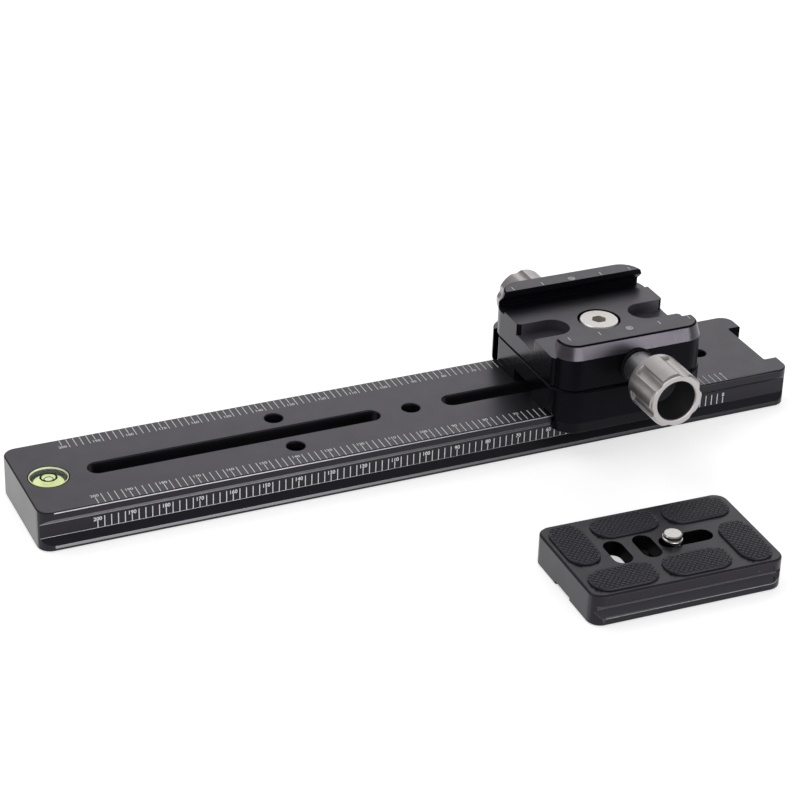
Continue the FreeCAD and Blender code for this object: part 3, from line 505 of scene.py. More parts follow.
up, back, ahead = Vector((0, 0, 1)), Vector((0, 1, 0)), Vector((0, -1, 0))
along = Vector((1, 0, 0))
print_scale("scale_top_front", (0, rail_low.y + top_edge, rail_top), back, 4.8 * mm, 3.2 * mm,
            4.1 * mm, (along, back, up))
print_scale("scale_top_rear", (0, rail_high.y - top_edge, rail_top), ahead, 4.8 * mm, 3.0 * mm,
            4.0 * mm, (along, back, up))
print_scale("scale_side_band", (0, rail_low.y + recess, band_foot), up, 3.5 * mm, 2.1 * mm,
            2.85 * mm, (along, up, ahead))

# ---- Round level ------------------------------------------------------------------------------
# A bought-in acrylic vial, pressed into the left end: a clear lens over yellow-green spirit, with a
# black ring printed on its underside and an air bubble that stands inside the ring.

def to_mesh(build, name):
    """The mesh of a build, which is freed."""
    mesh = bpy.data.meshes.new(name)
    build.to_mesh(mesh)
    build.free()
    return mesh


def lathe(name, profile, axis_at, steps=64):
    """A turned mesh: profile points are (radius, height) above axis_at."""
    build = bmesh.new()
    rings = []
    for radius, height in profile:
        ring = []
        for index in range(steps if radius > 1e-7 else 1):
            angle = 2 * math.pi * index / steps
            point = Vector((radius * math.cos(angle), radius * math.sin(angle), height))
            ring.append(build.verts.new(Vector(axis_at) + point))
        rings.append(ring)
    for here, after in zip(rings, rings[1:]):
        for index in range(steps):
            following = (index + 1) % steps
            corners = [here[index % len(here)], here[following % len(here)],
                       after[following % len(after)], after[index % len(after)]]
            face = list(dict.fromkeys(corners))
            if len(face) > 2:
                build.faces.new(face).smooth = True
    bmesh.ops.recalc_face_normals(build, faces=build.faces)
    mesh = to_mesh(build, name)
    mesh.set_sharp_from_angle(angle=math.radians(35.0))
    return mesh


def flat_ring(inner, outer, top, foot):
    """The closed profile of a ring."""
    return [(inner, top), (outer, top), (outer, foot), (inner, foot), (inner, top)]


level_low, level_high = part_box("level_vial")
level_at = (level_low + level_high) / 2
level_at.z = level_high.z
level_radius = (level_high.x - level_low.x) / 2
lens_depth = 0.12 * mm
well_depth = 1.9 * mm
groove_width = 0.26 * mm
wall = 0.44 * mm
pale_wall = 0.55 * mm


def level_part(name, profile, material, steps=64, shadow=True):
    """A turned piece of the level."""
    piece = ride_mesh(lathe(name, profile, level_at, steps), name, material, "rail")
    piece.visible_shadow = shadow
    return piece


clear_acrylic = plain("clear_acrylic", {
    "Base Color": (0.97, 1.0, 0.95), "Roughness": 0.02, "IOR": 1.06, "Transmission Weight": 1.0})
lens_radius = level_radius - groove_width - 0.3 * mm
lens = level_part("level_lens", [
    (0, 0), (lens_radius - 0.06 * mm, 0), (lens_radius, -0.05 * mm), (lens_radius, -lens_depth),
    (0, -lens_depth)], clear_acrylic, shadow=False)

# the lime rim, and the plug that takes its material, glow a little: painted light
# the rim's hole is set off the middle, towards the rear right
lime_rim = plain("lime_rim", {
    "Base Color": (0.74, 0.8, 0.36), "Roughness": 0.3,
    "Emission Color": (0.7, 0.8, 0.4), "Emission Strength": 0.12})
rim_shift = Vector((0.42, 0.91, 0.0)) * 0.2 * mm
rim_top, rim_foot = -0.03 * mm, -0.45 * mm
rim_outer = level_radius - groove_width
rim_inner = rim_outer - 0.24 * mm
rim = lathe("level_rim", flat_ring(rim_inner, rim_outer, rim_top, rim_foot), level_at)
for vert in rim.vertices:
    if (vert.co - level_at).to_2d().length < rim_inner + 0.01 * mm:
        vert.co += rim_shift
ride_mesh(rim, "level_rim", lime_rim, "rail")

seat_shadow = plain("seat_shadow", {
    "Base Color": (0.004, 0.004, 0.004), "Specular IOR Level": 0.05})
level_part("level_seat_ring", flat_ring(
    rim_outer + 0.005 * mm, level_radius - 0.01 * mm, -0.02 * mm, -0.2 * mm),
    seat_shadow)
# the cream wall glows a little: painted light
cream_wall = plain("cream_wall", {
    "Base Color": (0.78, 0.8, 0.62), "Roughness": 0.35,
    "Emission Color": (0.8, 0.84, 0.65), "Emission Strength": 0.15})
wall_radius = level_radius - wall - 0.01 * mm
wall_inner = level_radius - wall - 0.04 * mm
level_part("level_pale_wall", [
    (wall_radius, -lens_depth), (wall_radius, -pale_wall), (wall_inner, -pale_wall),
    (wall_inner, -lens_depth), (wall_radius, -lens_depth)], cream_wall)
dark_well = plain("dark_well", {
    "Base Color": (0.12, 0.128, 0.15), "Roughness": 0.5, "Specular IOR Level": 0.1})
well_foot = -well_depth - 0.3 * mm
level_part("level_well", [
    (wall_radius, -pale_wall), (level_radius - wall - 0.05 * mm, -pale_wall),
    (level_radius - 0.6 * mm, -well_depth), (4.5 * mm, -well_depth), (4.5 * mm, well_foot),
    (wall_radius, well_foot), (wall_radius, -pale_wall)], dark_well)

# the spirit glows a little: painted light
lime_spirit, tree, shader = new_material("lime_spirit")
clouds = noise_node(tree, add_grain(tree, shader, 1500.0, 0.35, 0.1, 0.002 * mm), 260.0, 2.0)
mix_colours(tree, shader, clouds, (0.78, 0.86, 0.36), (0.88, 0.93, 0.5))
fill(tree, shader, {"Emission Color": (0.75, 0.85, 0.4, 1.0), "Emission Strength": 0.25})
pool_top, pool_foot = -well_depth + 0.3 * mm, -well_depth - 0.2 * mm
pool = level_part("level_pool", [
    (0, pool_top), (4.0 * mm, pool_top), (4.4 * mm, -well_depth + 0.12 * mm),
    (4.4 * mm, pool_foot), (0, pool_foot)], lime_spirit)

black_print = plain("black_print", {
    "Base Color": (0.006, 0.008, 0.006), "Roughness": 0.6, "Specular IOR Level": 0.1})
ring_height = -lens_depth - 0.03 * mm
level_part("level_ring", flat_ring(
    1.93 * mm, 2.55 * mm, ring_height, ring_height - 0.03 * mm),
    black_print, shadow=False)
# near-black edge round the bubble: painted shade where its edge bends the light away
bubble_rim = plain("bubble_rim", {"Base Color": (0.03, 0.035, 0.03), "Roughness": 0.2})
level_part("level_air_edge", [
    (1.15 * mm, ring_height - 0.52 * mm), (1.3 * mm, ring_height - 0.5 * mm),
    (1.42 * mm, ring_height - 0.61 * mm), (1.3 * mm, ring_height - 0.72 * mm),
    (1.15 * mm, ring_height - 0.66 * mm), (1.15 * mm, ring_height - 0.52 * mm)],
    bubble_rim, steps=48, shadow=False)
# the bubble glows a little: painted light
air_bubble = plain("air_bubble", {
    "Base Color": (0.8, 0.87, 0.6), "Roughness": 0.25,
    "Emission Color": (0.8, 0.88, 0.6), "Emission Strength": 0.08})
bubble_foot = ring_height - 0.76 * mm
bubble = level_part("level_air", [
    (0, ring_height - 0.56 * mm), (1.16 * mm, ring_height - 0.62 * mm), (1.16 * mm, bubble_foot),
    (0, bubble_foot)], air_bubble, steps=48, shadow=False)
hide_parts("level_vial")
frame["nodes"]["level_plug"].data.materials.clear()
frame["nodes"]["level_plug"].data.materials.append(lime_rim)
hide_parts("level_liquid")
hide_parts("level_bubble")


# ---- Clamp bodies and jaws --------------------------------------------------------------------
# Two like clamps, screwed together back to back. Each has a milled body with a fixed jaw and a
# moving jaw in front, all blasted and anodised like the rail.

clamp_black = black_anodised("clamp_black", (0.0085, 0.0078, 0.0105), 0.34, 0.64, 0.035)
# darker, duller upright faces are painted shade; lighter ends, pockets and band are painted light
clamp_shaded_side = black_anodised("clamp_side_black", (0.004, 0.0038, 0.0055), 0.3, 0.05, 0.035)
clamp_lit_end = black_anodised("clamp_end_black", (0.003, 0.0029, 0.004), 0.18, 0.48, 0.035)
clamp_lit_pocket = black_anodised("clamp_pocket_black", (0.07, 0.066, 0.08), 0.4, 0.5, 0.035)
clamp_lit_band = black_anodised("clamp_band_black", (0.0125, 0.012, 0.0145), 0.3, 0.85, 0.035)
clamp_low, clamp_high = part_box("upper_clamp_body")
jaw_top = clamp_high.z
clamp_x = (clamp_low.x + clamp_high.x) / 2
channel_floor = jaw_top - 5.0 * mm
clamp_half = 22.5 * mm


def clamp_finish(face):
    """Painted light and shade: ends, pockets and the sloped band lighter, upright faces darker."""
    middle = face.calc_center_median()
    in_pocket = (channel_floor - 3.8 * mm < middle.z < channel_floor - 0.1 * mm
                 and abs(middle.y) < 8.0 * mm and abs(middle.x - clamp_x) > 8.0 * mm
                 and abs(middle.x - clamp_x) < clamp_half)
    if in_pocket:
        return 4
    if abs(face.normal.x) > 0.95:
        return 3
    if 0.2 < face.normal.z < 0.5:
        return 5
    return 0 if face.normal.z > 0.9 else 2


for node, name in (("upper_clamp_body", "upper_clamp_block"),
                   ("lower_clamp_body", "lower_clamp_block"),
                   ("upper_jaw", "upper_moving_jaw"), ("lower_jaw", "lower_moving_jaw")):
    machined(node, name, 0.12 * mm,
             [clamp_black, edge_highlight, clamp_shaded_side, clamp_lit_end, clamp_lit_pocket, clamp_lit_band],
             clamp_finish, edge=-1)


# ---- Marks on the jaws ------------------------------------------------------------------------
# Short lines beside the inner edges of both jaw tops, 10 mm apart, and a crossed ring at the middle
# that shows where the screw's axis lies.

clamp_y = -1.1 * mm
mark_length = 1.9 * mm
mark_step = 10.0 * mm
mark_places = (-20.0 * mm, -10.0 * mm, 10.0 * mm, 20.0 * mm)
cross_length = 2.4 * mm


def stroke(name, length, width):
    """One marked line that runs from the origin along +Y."""
    return grow(ticks, name, {
        "Count": 1, "Pitch": mark_step, "Every": 1, "Long": length, "Short": length,
        "Width": width, "Thickness": mark_thickness, "Ink": laser_mark})


def mark_jaw(name, middle_x, inner_edge, outward, body):
    """The marks along one jaw: inner_edge is their distance from the screw's axis."""
    build = bmesh.new()
    for offset in mark_places:
        line = stroke(name, mark_length, line_width)
        start = Vector((middle_x + offset, clamp_y + outward * inner_edge, jaw_top))
        line.transform(facing(start, (outward, 0, 0), (0, outward, 0)))
        build.from_mesh(line)
    middle = Vector((middle_x, clamp_y + outward * (inner_edge + mark_length / 2), jaw_top))
    ring = flat_ring(0.78 * mm, 1.1 * mm, 0, mark_thickness)
    build.from_mesh(lathe(name, ring, middle, steps=32))
    for across in (math.pi / 4, -math.pi / 4):
        bar = stroke(name, cross_length, 0.42 * mm)
        bar.transform(Matrix.Translation(middle) @ Matrix.Rotation(across, 4, "Z")
                      @ Matrix.Translation((0, -cross_length / 2, 0)))
        build.from_mesh(bar)
    ride_mesh(to_mesh(build, name), name, laser_mark, body)


mark_jaw("marks_fixed_jaw", clamp_x, 17.6 * mm, 1, "carriage")
mark_jaw("marks_moving_jaw", clamp_x + 0.8 * mm, 16.0 * mm, -1, "upper_jaw")

# ---- Clamp knobs ------------------------------------------------------------------------------
# A turned knob with milled flutes and a deep black hollow, on a dark collar. Knob and collar are
# pressed on a steel stud that pulls the jaw in, and a black washer runs between collar and jaw.

knob_grey = mottled_metal("knob_grey", (8000.0, 0.36, 0.1, 0.004 * mm), 400.0,
                          (0.4, 0.38, 0.375), (0.46, 0.435, 0.43))
hollow_black = plain("hollow_black", {"Base Color": (0.03, 0.03, 0.034)},
                     (6000.0, 0.42, 0.1, 0.004 * mm))
collar_grey = plain("collar_grey", {"Metallic": 1.0, "Base Color": (0.36, 0.35, 0.37)},
                    (9000.0, 0.42, 0.1, 0.003 * mm))
washer_black = plain("washer_black", {"Base Color": (0.01, 0.01, 0.01), "Specular IOR Level": 0.1},
                     (5000.0, 0.3, 0.1, 0.002 * mm))
ground_steel = plain("ground_steel", {"Metallic": 1.0, "Base Color": (0.55, 0.55, 0.56)},
                     (7000.0, 0.3, 0.1, 0.002 * mm))
# pale bright metal for the joining screw's rounded edges: a painted highlight
rim_highlight = plain("rim_highlight", {"Metallic": 1.0, "Base Color": (0.78, 0.76, 0.75)},
                   (5000.0, 0.22, 0.1, 0.002 * mm))
hollow_radius = 6.2 * mm
knob_wall = 0.2 * mm

for clamp, outward in (("upper", -1), ("lower", 1)):
    knob_low, knob_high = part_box(clamp + "_knob")
    centre = (knob_low + knob_high) / 2
    front_face = knob_low.y if outward < 0 else knob_high.y
    back_face = knob_high.y if outward < 0 else knob_low.y

    def hollow_or_skin(face):
        """Faces inside the deep hollow are black."""
        middle = face.calc_center_median()
        radius = math.hypot(middle.x - centre.x, middle.z - centre.z)
        inside = radius < hollow_radius and abs(middle.y - front_face) > knob_wall
        return 1 if inside and abs(middle.y - back_face) > knob_wall else 0

    machined(clamp + "_knob", clamp + "_fluted_knob", 0.12 * mm, [knob_grey, hollow_black],
             hollow_or_skin, edge=-1)
    for part, width, metal, slot in (("knob_collar", 0.1 * mm, collar_grey, "collar_metal"),
                                     ("knob_washer", 0.08 * mm, washer_black, "black_washer"),
                                     ("knob_stud", 0.05 * mm, ground_steel, "steel"),
                                     ("guide_pins", 0.05 * mm, ground_steel, "steel")):
        machined(clamp + "_" + part, clamp + "_" + part.split("_")[1], width, [metal],
                 edge=-1)


# ---- Fasteners inside the clamp ---------------------------------------------------------------
# A nickel-plated socket screw clamps the two bodies together; two dowels keep them in line. The
# springs on the guide pins push each jaw open.

nickel = mottled_metal("nickel", (5000.0, 0.3, 0.12, 0.003 * mm), 700.0,
                       (0.5, 0.48, 0.46), (0.58, 0.56, 0.54))
# pale dull brown inside the hex socket: painted light in its shade
socket_painted_light = plain("socket_painted_light", {"Base Color": (0.5, 0.45, 0.39)},
                    (3000.0, 0.5, 0.15, 0.01 * mm))
head_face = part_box("joining_screw")[1].z
socket_radius = 2.9 * mm


def socket_or_head(face):
    """The hexagon's floor and walls get a pale, dull brown: painted light in the socket's shade."""
    middle = face.calc_center_median()
    near_axis = math.hypot(middle.x - clamp_x, middle.y - clamp_y) < socket_radius
    return 2 if near_axis and jaw_top - 10 * mm < middle.z < head_face - 0.1 * mm else 0


# its rounded edges take the second material, a painted highlight
machined("joining_screw", "socket_screw", 0.12 * mm, [nickel, rim_highlight, socket_painted_light],
         socket_or_head)
frame["nodes"]["seam_dowels"].data.materials.clear()
frame["nodes"]["seam_dowels"].data.materials.append(ground_steel)
for clamp, outward in (("upper", -1), ("lower", 1)):
    node = clamp + "_springs"
    mesh = frame["nodes"][node].data.copy()
    mesh.name = clamp + "_coils"
    mesh.materials.clear()
    mesh.materials.append(ground_steel)
    coils = new_object(clamp + "_coils", mesh)
    # each coil is the CAD spring as it stands, between the bottom of its pocket and the jaw
    near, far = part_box(node)
    if outward < 0:
        near, far = far, near
    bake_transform(coils)
    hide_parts(node)


# ---- Quick-release plate ----------------------------------------------------------------------
# A dovetail plate milled from the same aluminium, with two cross slots and one long slot.

plate_black = black_anodised("plate_black", (0.008, 0.0076, 0.0095), 0.36, 0.5, 0.04)
# the sides get a duller copy, painted shade; the ends and grooves lighter copies, painted light
plate_shaded_side = black_anodised("plate_side_black", (0.009, 0.0088, 0.011), 0.34, 0.28, 0.04)
plate_lit_end = black_anodised("plate_end_black", (0.009, 0.0088, 0.011), 0.3, 0.44, 0.04)
plate_lit_groove = black_anodised("plate_groove_black", (0.035, 0.034, 0.039), 0.36, 0.5, 0.04)
plate_low, plate_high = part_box("plate_body")
slot_reach = 8.0 * mm
groove_low = plate_low.z + 1.5 * mm
groove_high = plate_high.z - 3.0 * mm


def from_side(face):
    """How far a face's middle lies in from the plate's long sides."""
    middle_y = face.calc_center_median().y
    return min(middle_y - plate_low.y, plate_high.y - middle_y)


def plate_finish(face):
    """Painted shade in the slots and on the sides; painted light on the ends and in the grooves."""
    middle = face.calc_center_median()
    inside = (plate_low.x + slot_reach < middle.x < plate_high.x - slot_reach
              and plate_low.y + slot_reach < middle.y < plate_high.y - slot_reach)
    if inside and middle.z < plate_high.z - 0.1 * mm:
        return 4
    if abs(face.normal.x) > 0.9:
        return 3
    in_groove = groove_low < middle.z < groove_high and 0.9 * mm < from_side(face) < 5.5 * mm
    if in_groove and abs(face.normal.x) < 0.3:
        return 5
    return 0 if face.normal.z > 0.2 and not narrow(face, 0.45 * mm) else 2


def groove_edge(edge):
    """The edges where the dovetail grooves meet the plate's upright sides."""
    if edge.calc_face_angle(0.0) < sharp_angle:
        return False
    on_side = any(abs(face.normal.y) > 0.9 and from_side(face) < 1.0 * mm
                  for face in edge.link_faces)
    return on_side and all(plate_low.z + 0.6 * mm < vert.co.z < plate_high.z - 0.6 * mm
                           for vert in edge.verts)


# the rounds where the grooves meet the sides carry a painted highlight
machined("plate_body", "dovetail_plate", 0.1 * mm,
         [plate_black, edge_highlight, plate_shaded_side, plate_lit_end, slot_shade, plate_lit_groove],
         plate_finish, edge=-1,
         highlighted=((groove_edge, 0.12 * mm, 1),))


# ---- Rubber pads ------------------------------------------------------------------------------
# Six moulded rubber pads with round ends, glued on the plate. Their tops carry a raised diamond
# tread inside a plain border.

pad_rubber, tree, shader = new_material("pad_rubber")
fill(tree, shader, {"Specular IOR Level": 0.5, "Specular Tint": violet_sheen})
settle_dust(tree, shader, add_grain(tree, shader, 6000.0, 0.5, 0.12, 0.01 * mm),
            {"Scale": 420.0, "Size": 0.05}, (0.02, 0.0195, 0.0235), (0.25, 0.25, 0.25))

tread, tread_in, tread_out = new_modifier_tree("diamond_tread", [
    ("Length", "Float"), ("Width", "Float"), ("Pitch", "Float"), ("Height", "Float"),
    ("Border", "Float"), ("Turn", "Float"), ("Rubber", "Material")])
given = tread_in.outputs


def tread_math(operation, *values):
    """A Math node of the tread."""
    return math_node(tread, operation, *values)


reach = tread_math("MULTIPLY", given["Length"], 1.5)
steps = tread_math("FLOOR", tread_math("DIVIDE", reach, given["Pitch"]))
field = add_node(tread, "GeometryNodeMeshGrid", {
    "Size X": reach, "Size Y": reach, "Vertices X": steps, "Vertices Y": steps})
turned = add_node(tread, "GeometryNodeTransform", {
    "Geometry": field.outputs["Mesh"], "Rotation": combine(tread, 0.0, 0.0, given["Turn"])})
# a point belongs to the pad where its distance from the pad's middle line is small enough
here = add_node(tread, "ShaderNodeSeparateXYZ", {
    "Vector": tread.nodes.new("GeometryNodeInputPosition").outputs["Position"]}).outputs
straight = tread_math("MULTIPLY", tread_math("SUBTRACT", given["Length"], given["Width"]), 0.5)
past_end = tread_math(
    "MAXIMUM", tread_math("SUBTRACT", tread_math("ABSOLUTE", here["X"]), straight), 0.0)
squares = tread_math("ADD", tread_math("POWER", past_end, 2.0),
                     tread_math("POWER", tread_math("ABSOLUTE", here["Y"]), 2.0))
limit = tread_math("SUBTRACT", tread_math("MULTIPLY", given["Width"], 0.5), given["Border"])
trimmed = add_node(tread, "GeometryNodeDeleteGeometry", {
    "Geometry": turned.outputs["Geometry"],
    "Selection": tread_math("GREATER_THAN", tread_math("SQRT", squares), limit)})
stud = add_node(tread, "GeometryNodeMeshCone", {
    "Vertices": 4, "Depth": given["Height"],
    "Radius Bottom": tread_math("MULTIPLY", given["Pitch"], 0.66),
    "Radius Top": tread_math("MULTIPLY", given["Pitch"], 0.47)})
eighth = tread_math("ADD", given["Turn"], math.pi / 4)
planted = add_node(tread, "GeometryNodeInstanceOnPoints", {
    "Points": trimmed.outputs["Geometry"], "Instance": stud.outputs["Mesh"],
    "Rotation": combine(tread, 0.0, 0.0, eighth)})
close_tree(tread, tread_out, planted.outputs["Instances"], given["Rubber"])

# darker, duller rubber for the floor between the studs: painted shade
pad_groove_shade = plain("pad_groove_shade", {"Specular IOR Level": 0.1, "Base Color": (0.016, 0.0155, 0.0185)},
                   (6000.0, 0.7, 0.1, 0.01 * mm))
tread_height = 0.26 * mm
tread_pitch = 1.08 * mm
pad_border = 0.3 * mm
pad_run = 10.2 * mm
plate_yaw = math.radians(-1.5)


def pad_slab(length, width, height, edge):
    """The pad under its tread: a low slab with round ends and a rounded top edge."""
    build = bmesh.new()
    arc_steps = 20
    rings = []
    for inset, level in ((0.0, 0.0), (0.0, height - edge), (0.3 * edge, height - 0.3 * edge),
                         (edge, height)):
        ring = []
        radius = width / 2 - inset
        for side in (1, -1):
            for index in range(arc_steps + 1):
                angle = math.pi * (index / arc_steps - 0.5) + (0 if side > 0 else math.pi)
                ring.append(build.verts.new((side * (length - width) / 2 + radius * math.cos(angle),
                                             radius * math.sin(angle), level)))
        rings.append(ring)
    for here, after in zip(rings, rings[1:]):
        for index in range(len(here)):
            following = (index + 1) % len(here)
            build.faces.new((here[index], here[following], after[following], after[index]))
    # the top between the studs takes the second material: painted shade
    build.faces.new(rings[-1]).material_index = 1
    build.faces.new(list(reversed(rings[0])))
    for face in build.faces:
        face.smooth = True
    return build


for name in ("pad_rear_left", "pad_rear_right", "pad_front_left", "pad_front_right",
             "pad_left_end", "pad_right_end"):
    low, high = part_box(name)
    size = high - low
    lengthwise = size.x > size.y
    # the node's box is that of a slightly turned pad, so its own sizes are worked back from it
    pad_width = (size.y if lengthwise else size.x) - pad_run * math.sin(-plate_yaw)
    pad_length = pad_run + pad_width
    build = pad_slab(pad_length, pad_width, size.z - tread_height * 0.8, 0.12 * mm)
    studs = grow(tread, name, {
        "Length": pad_length, "Width": pad_width, "Pitch": tread_pitch, "Height": tread_height,
        "Border": pad_border, "Turn": math.pi / 4, "Rubber": pad_rubber})
    studs.transform(Matrix.Translation((0, 0, size.z - tread_height)))
    build.from_mesh(studs)
    mesh = to_mesh(build, name)
    mesh.set_sharp_from_angle(angle=math.radians(30.0))
    heading = plate_yaw + (0.0 if lengthwise else math.pi / 2)
    middle = (low + high) / 2
    mesh.transform(Matrix.Translation((middle.x, middle.y, low.z))
                   @ Matrix.Rotation(heading, 4, "Z"))
    pad = ride_mesh(mesh, "tread_" + name, pad_rubber, "plate")
    mesh.materials.append(pad_groove_shade)
    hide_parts(name)


# ---- Camera screw -----------------------------------------------------------------------------
# A bright 1/4 inch screw with 20 threads to the inch, a slim neck that lets it slide in its slot,
# and a wide head below with a slot for a coin.

thread_tree, thread_in, thread_out = new_modifier_tree("screw_thread", [
    ("Pitch", "Float"), ("Turns", "Float"), ("Core", "Float"), ("Crest", "Float"),
    ("Metal", "Material")])
given = thread_in.outputs
helix = add_node(thread_tree, "GeometryNodeCurveSpiral", {
    "Resolution": 40, "Rotations": given["Turns"], "Start Radius": given["Core"],
    "End Radius": given["Core"],
    "Height": math_node(thread_tree, "MULTIPLY", given["Turns"], given["Pitch"])})
ridge = add_node(thread_tree, "GeometryNodeCurvePrimitiveCircle", {
    "Resolution": 4, "Radius": math_node(thread_tree, "SUBTRACT", given["Crest"], given["Core"])})
upright = add_node(thread_tree, "GeometryNodeSetCurveNormal", {"Curve": helix.outputs["Curve"]})
upright.mode = "Z_UP"
swept = add_node(thread_tree, "GeometryNodeCurveToMesh", {
    "Curve": upright.outputs["Curve"], "Profile Curve": ridge.outputs["Curve"],
    "Fill Caps": True})
close_tree(thread_tree, thread_out, swept.outputs["Mesh"], given["Metal"])

bright_steel = mottled_metal("bright_steel", (4000.0, 0.2, 0.1, 0.001 * mm), 900.0,
                             (0.46, 0.45, 0.43), (0.54, 0.53, 0.51))
screw_low, screw_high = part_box("camera_screw")
screw_at = Vector(((screw_low.x + screw_high.x) / 2, (screw_low.y + screw_high.y) / 2, 0.0))
plate_top = plate_high.z
head_radius = (screw_high.x - screw_low.x) / 2
head_foot = screw_low.z
head_top = head_foot + 3.0 * mm
head_round = 0.3 * mm
neck_radius = 2.4 * mm
crest_radius = 3.175 * mm
core_radius = 2.65 * mm
thread_pitch = 1.27 * mm
screw_top = screw_high.z
slot_top = head_foot + 1.4 * mm
slot_half = 0.7 * mm
mesh = lathe("camera_screw_turned", [
    (0, slot_top), (head_radius - head_round, slot_top), (head_radius, slot_top + 0.2 * mm),
    (head_radius, head_top - 0.2 * mm), (head_radius - 0.2 * mm, head_top), (neck_radius, head_top),
    (neck_radius, plate_top - 0.2 * mm), (core_radius, plate_top),
    (core_radius, screw_top - 0.3 * mm), (core_radius - 0.2 * mm, screw_top - 0.1 * mm),
    (core_radius - 0.3 * mm, screw_top), (0, screw_top)], screw_at)
camera_screw = ride_mesh(mesh, "camera_screw_turned", bright_steel, "camera_screw")
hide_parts("camera_screw")
thread_foot = plate_top + 0.6 * mm
turns = (screw_top - thread_foot - 0.7 * mm) / thread_pitch
thread = grow(thread_tree, "camera_screw_thread", {
    "Pitch": thread_pitch, "Turns": turns, "Core": core_radius, "Crest": crest_radius,
    "Metal": bright_steel})
thread.transform(Matrix.Translation(screw_at + Vector((0, 0, thread_foot))))
ride_mesh(thread, "camera_screw_thread", bright_steel, "camera_screw")
# the head's lower half is two half-moons with the coin slot between them
half_moons = lathe("camera_screw_head", [
    (0, head_foot), (head_radius - head_round, head_foot), (head_radius, head_foot + head_round),
    (head_radius, slot_top), (0, slot_top)], screw_at)
build = bmesh.new()
for side in (1, -1):
    half = bmesh.new()
    half.from_mesh(half_moons)
    cut = bmesh.ops.bisect_plane(
        half, geom=half.verts[:] + half.edges[:] + half.faces[:], clear_outer=True,
        plane_co=screw_at + Vector((0, side * slot_half, 0)), plane_no=(0, -side, 0))
    rim_edges = [item for item in cut["geom_cut"] if isinstance(item, bmesh.types.BMEdge)]
    bmesh.ops.contextual_create(half, geom=rim_edges)
    build.from_mesh(to_mesh(half, "half_moon"))
bmesh.ops.recalc_face_normals(build, faces=build.faces)
ride_mesh(to_mesh(build, "camera_screw_head"), "camera_screw_head", bright_steel,
          "camera_screw")


# ---- Threads in the rail's holes --------------------------------------------------------------
# The centre hole and the pair across the long slot are tapped 1/4-20, and the hole near the right
# end M6. The thread shows as fine rings inside each hole.

tapped_black = black_anodised("tapped_black", (0.02, 0.02, 0.022), 0.3, 0.5, 0.0)
hole_radius = 2.7 * mm
groove = 0.12 * mm
thread_margin = 0.8 * mm
for name, x, y, radius, pitch in (
        ("centre_hole_thread", 0.0, 0.0, hole_radius, thread_pitch),
        ("pair_rear_thread", -40.2 * mm, 8.7 * mm, hole_radius, thread_pitch),
        ("pair_front_thread", -40.2 * mm, -8.7 * mm, hole_radius, thread_pitch),
        ("stop_hole_thread", 97.8 * mm, 0.0, 2.5 * mm, 1.0 * mm)):
    turns = (rail_top - rail_low.z - 2 * thread_margin) / pitch
    mesh = grow(thread_tree, name, {
        "Pitch": pitch, "Turns": turns, "Core": radius + groove, "Crest": radius + 2.6 * groove,
        "Metal": tapped_black})
    mesh.transform(Matrix.Translation((x, y, rail_low.z + thread_margin)))
    ride_mesh(mesh, name, tapped_black, "rail")


# ---- Studio -----------------------------------------------------------------------------------
# A white floor under soft light: a large panel behind and above, one overhead, and a low strip in
# front that the upright faces reflect.

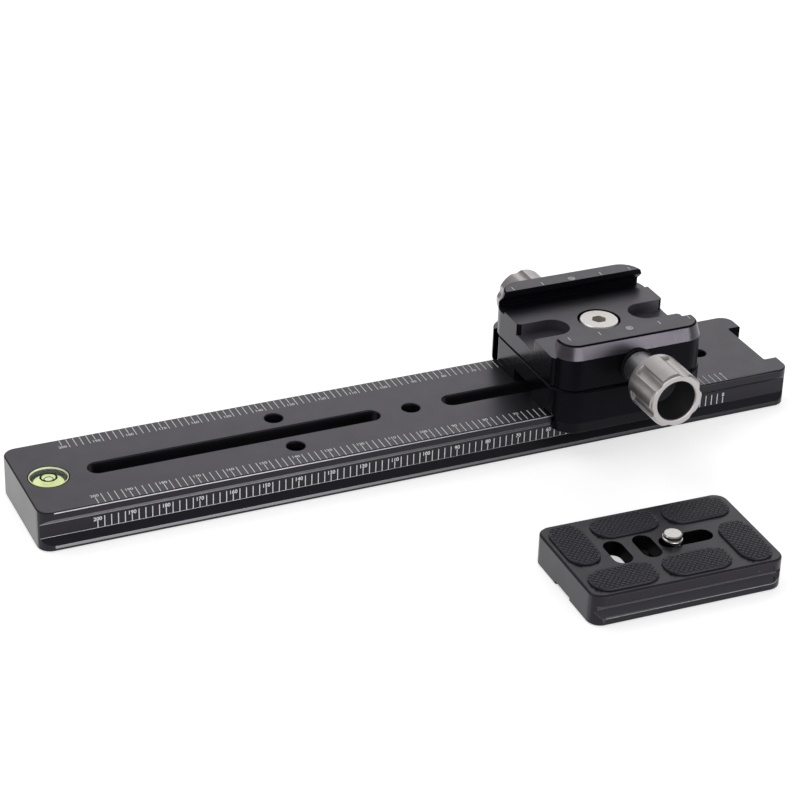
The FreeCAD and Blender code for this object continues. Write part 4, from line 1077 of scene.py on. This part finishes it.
paper, tree, shader = new_material("studio_paper")
fill(tree, shader, {
    "Base Color": (0.88, 0.88, 0.88, 1.0), "Roughness": 0.9, "Specular IOR Level": 0.0})
rays = tree.nodes.new("ShaderNodeLightPath")
seen = math_node(tree, "MAXIMUM", rays.outputs["Is Camera Ray"], math_node(
    tree, "MAXIMUM", rays.outputs["Is Glossy Ray"], rays.outputs["Is Transmission Ray"]))
glow = add_node(tree, "ShaderNodeEmission", {"Strength": math_node(tree, "MULTIPLY", seen, 0.6)})
both = add_node(tree, "ShaderNodeAddShader", {
    0: shader.outputs["BSDF"], 1: glow.outputs["Emission"]})
output = next(node for node in tree.nodes if node.type == "OUTPUT_MATERIAL")
fill(tree, output, {"Surface": both.outputs["Shader"]})
floor_reach = 3.0
floor_mesh = bpy.data.meshes.new("studio_floor")
floor_level = -0.05 * mm
floor_mesh.from_pydata([(x * floor_reach, y * floor_reach, floor_level)
                        for x, y in ((-1, -1), (1, -1), (1, 1), (-1, 1))], [], [(0, 1, 2, 3)])
floor_mesh.materials.append(paper)
floor = new_object("studio_floor", floor_mesh)

world = bpy.data.worlds.new("studio")
world.use_nodes = True
fill(world.node_tree, world.node_tree.nodes["Background"], {
    "Color": (1.0, 1.0, 1.0, 1.0), "Strength": 0.35})
bpy.context.scene.world = world


def add_panel(name, direction, distance, width, height, radiance):
    """A softbox that faces the object from a direction; radiance is how bright it looks."""
    lamp = bpy.data.lights.new(name, "AREA")
    lamp.shape = "RECTANGLE"
    lamp.size = width
    lamp.size_y = height
    lamp.energy = radiance * math.pi * width * height
    panel = new_object(name, lamp)
    towards = Vector(direction).normalized()
    panel.location = towards * distance
    panel.rotation_euler = towards.to_track_quat("Z", "Y").to_euler()


add_panel("panel_behind", (0.5, 0.75, 0.5), 1.3, 1.3, 0.8, 1.0)
add_panel("panel_overhead", (-0.35, 0.3, 0.9), 1.1, 0.8, 0.6, 1.6)
add_panel("strip_front", (0.12, -0.98, 0.13), 1.0, 1.2, 0.3, 5.2)

# the camera stands left of the rail's front and looks down on it through a long lens
camera_data = bpy.data.cameras.new("camera")
camera_data.sensor_width = 36.0
camera_data.lens = 112.86
camera_data.clip_start = 0.05
camera = new_object("camera", camera_data)
camera_place = (-0.27742, -0.58668, 0.37344)
view_line = Vector((0.3702, 0.7932, -0.4835)).normalized()
level_right = view_line.cross(Vector((0, 0, 1))).normalized()
tilt = math.radians(2.0)
right = level_right * math.cos(tilt) + level_right.cross(view_line) * math.sin(tilt)
rotation = Matrix((right, right.cross(view_line), -view_line)).transposed()
camera.matrix_world = Matrix.Translation(camera_place) @ rotation.to_4x4()
bpy.context.scene.camera = camera
bpy.context.scene.view_settings.view_transform = "Standard"
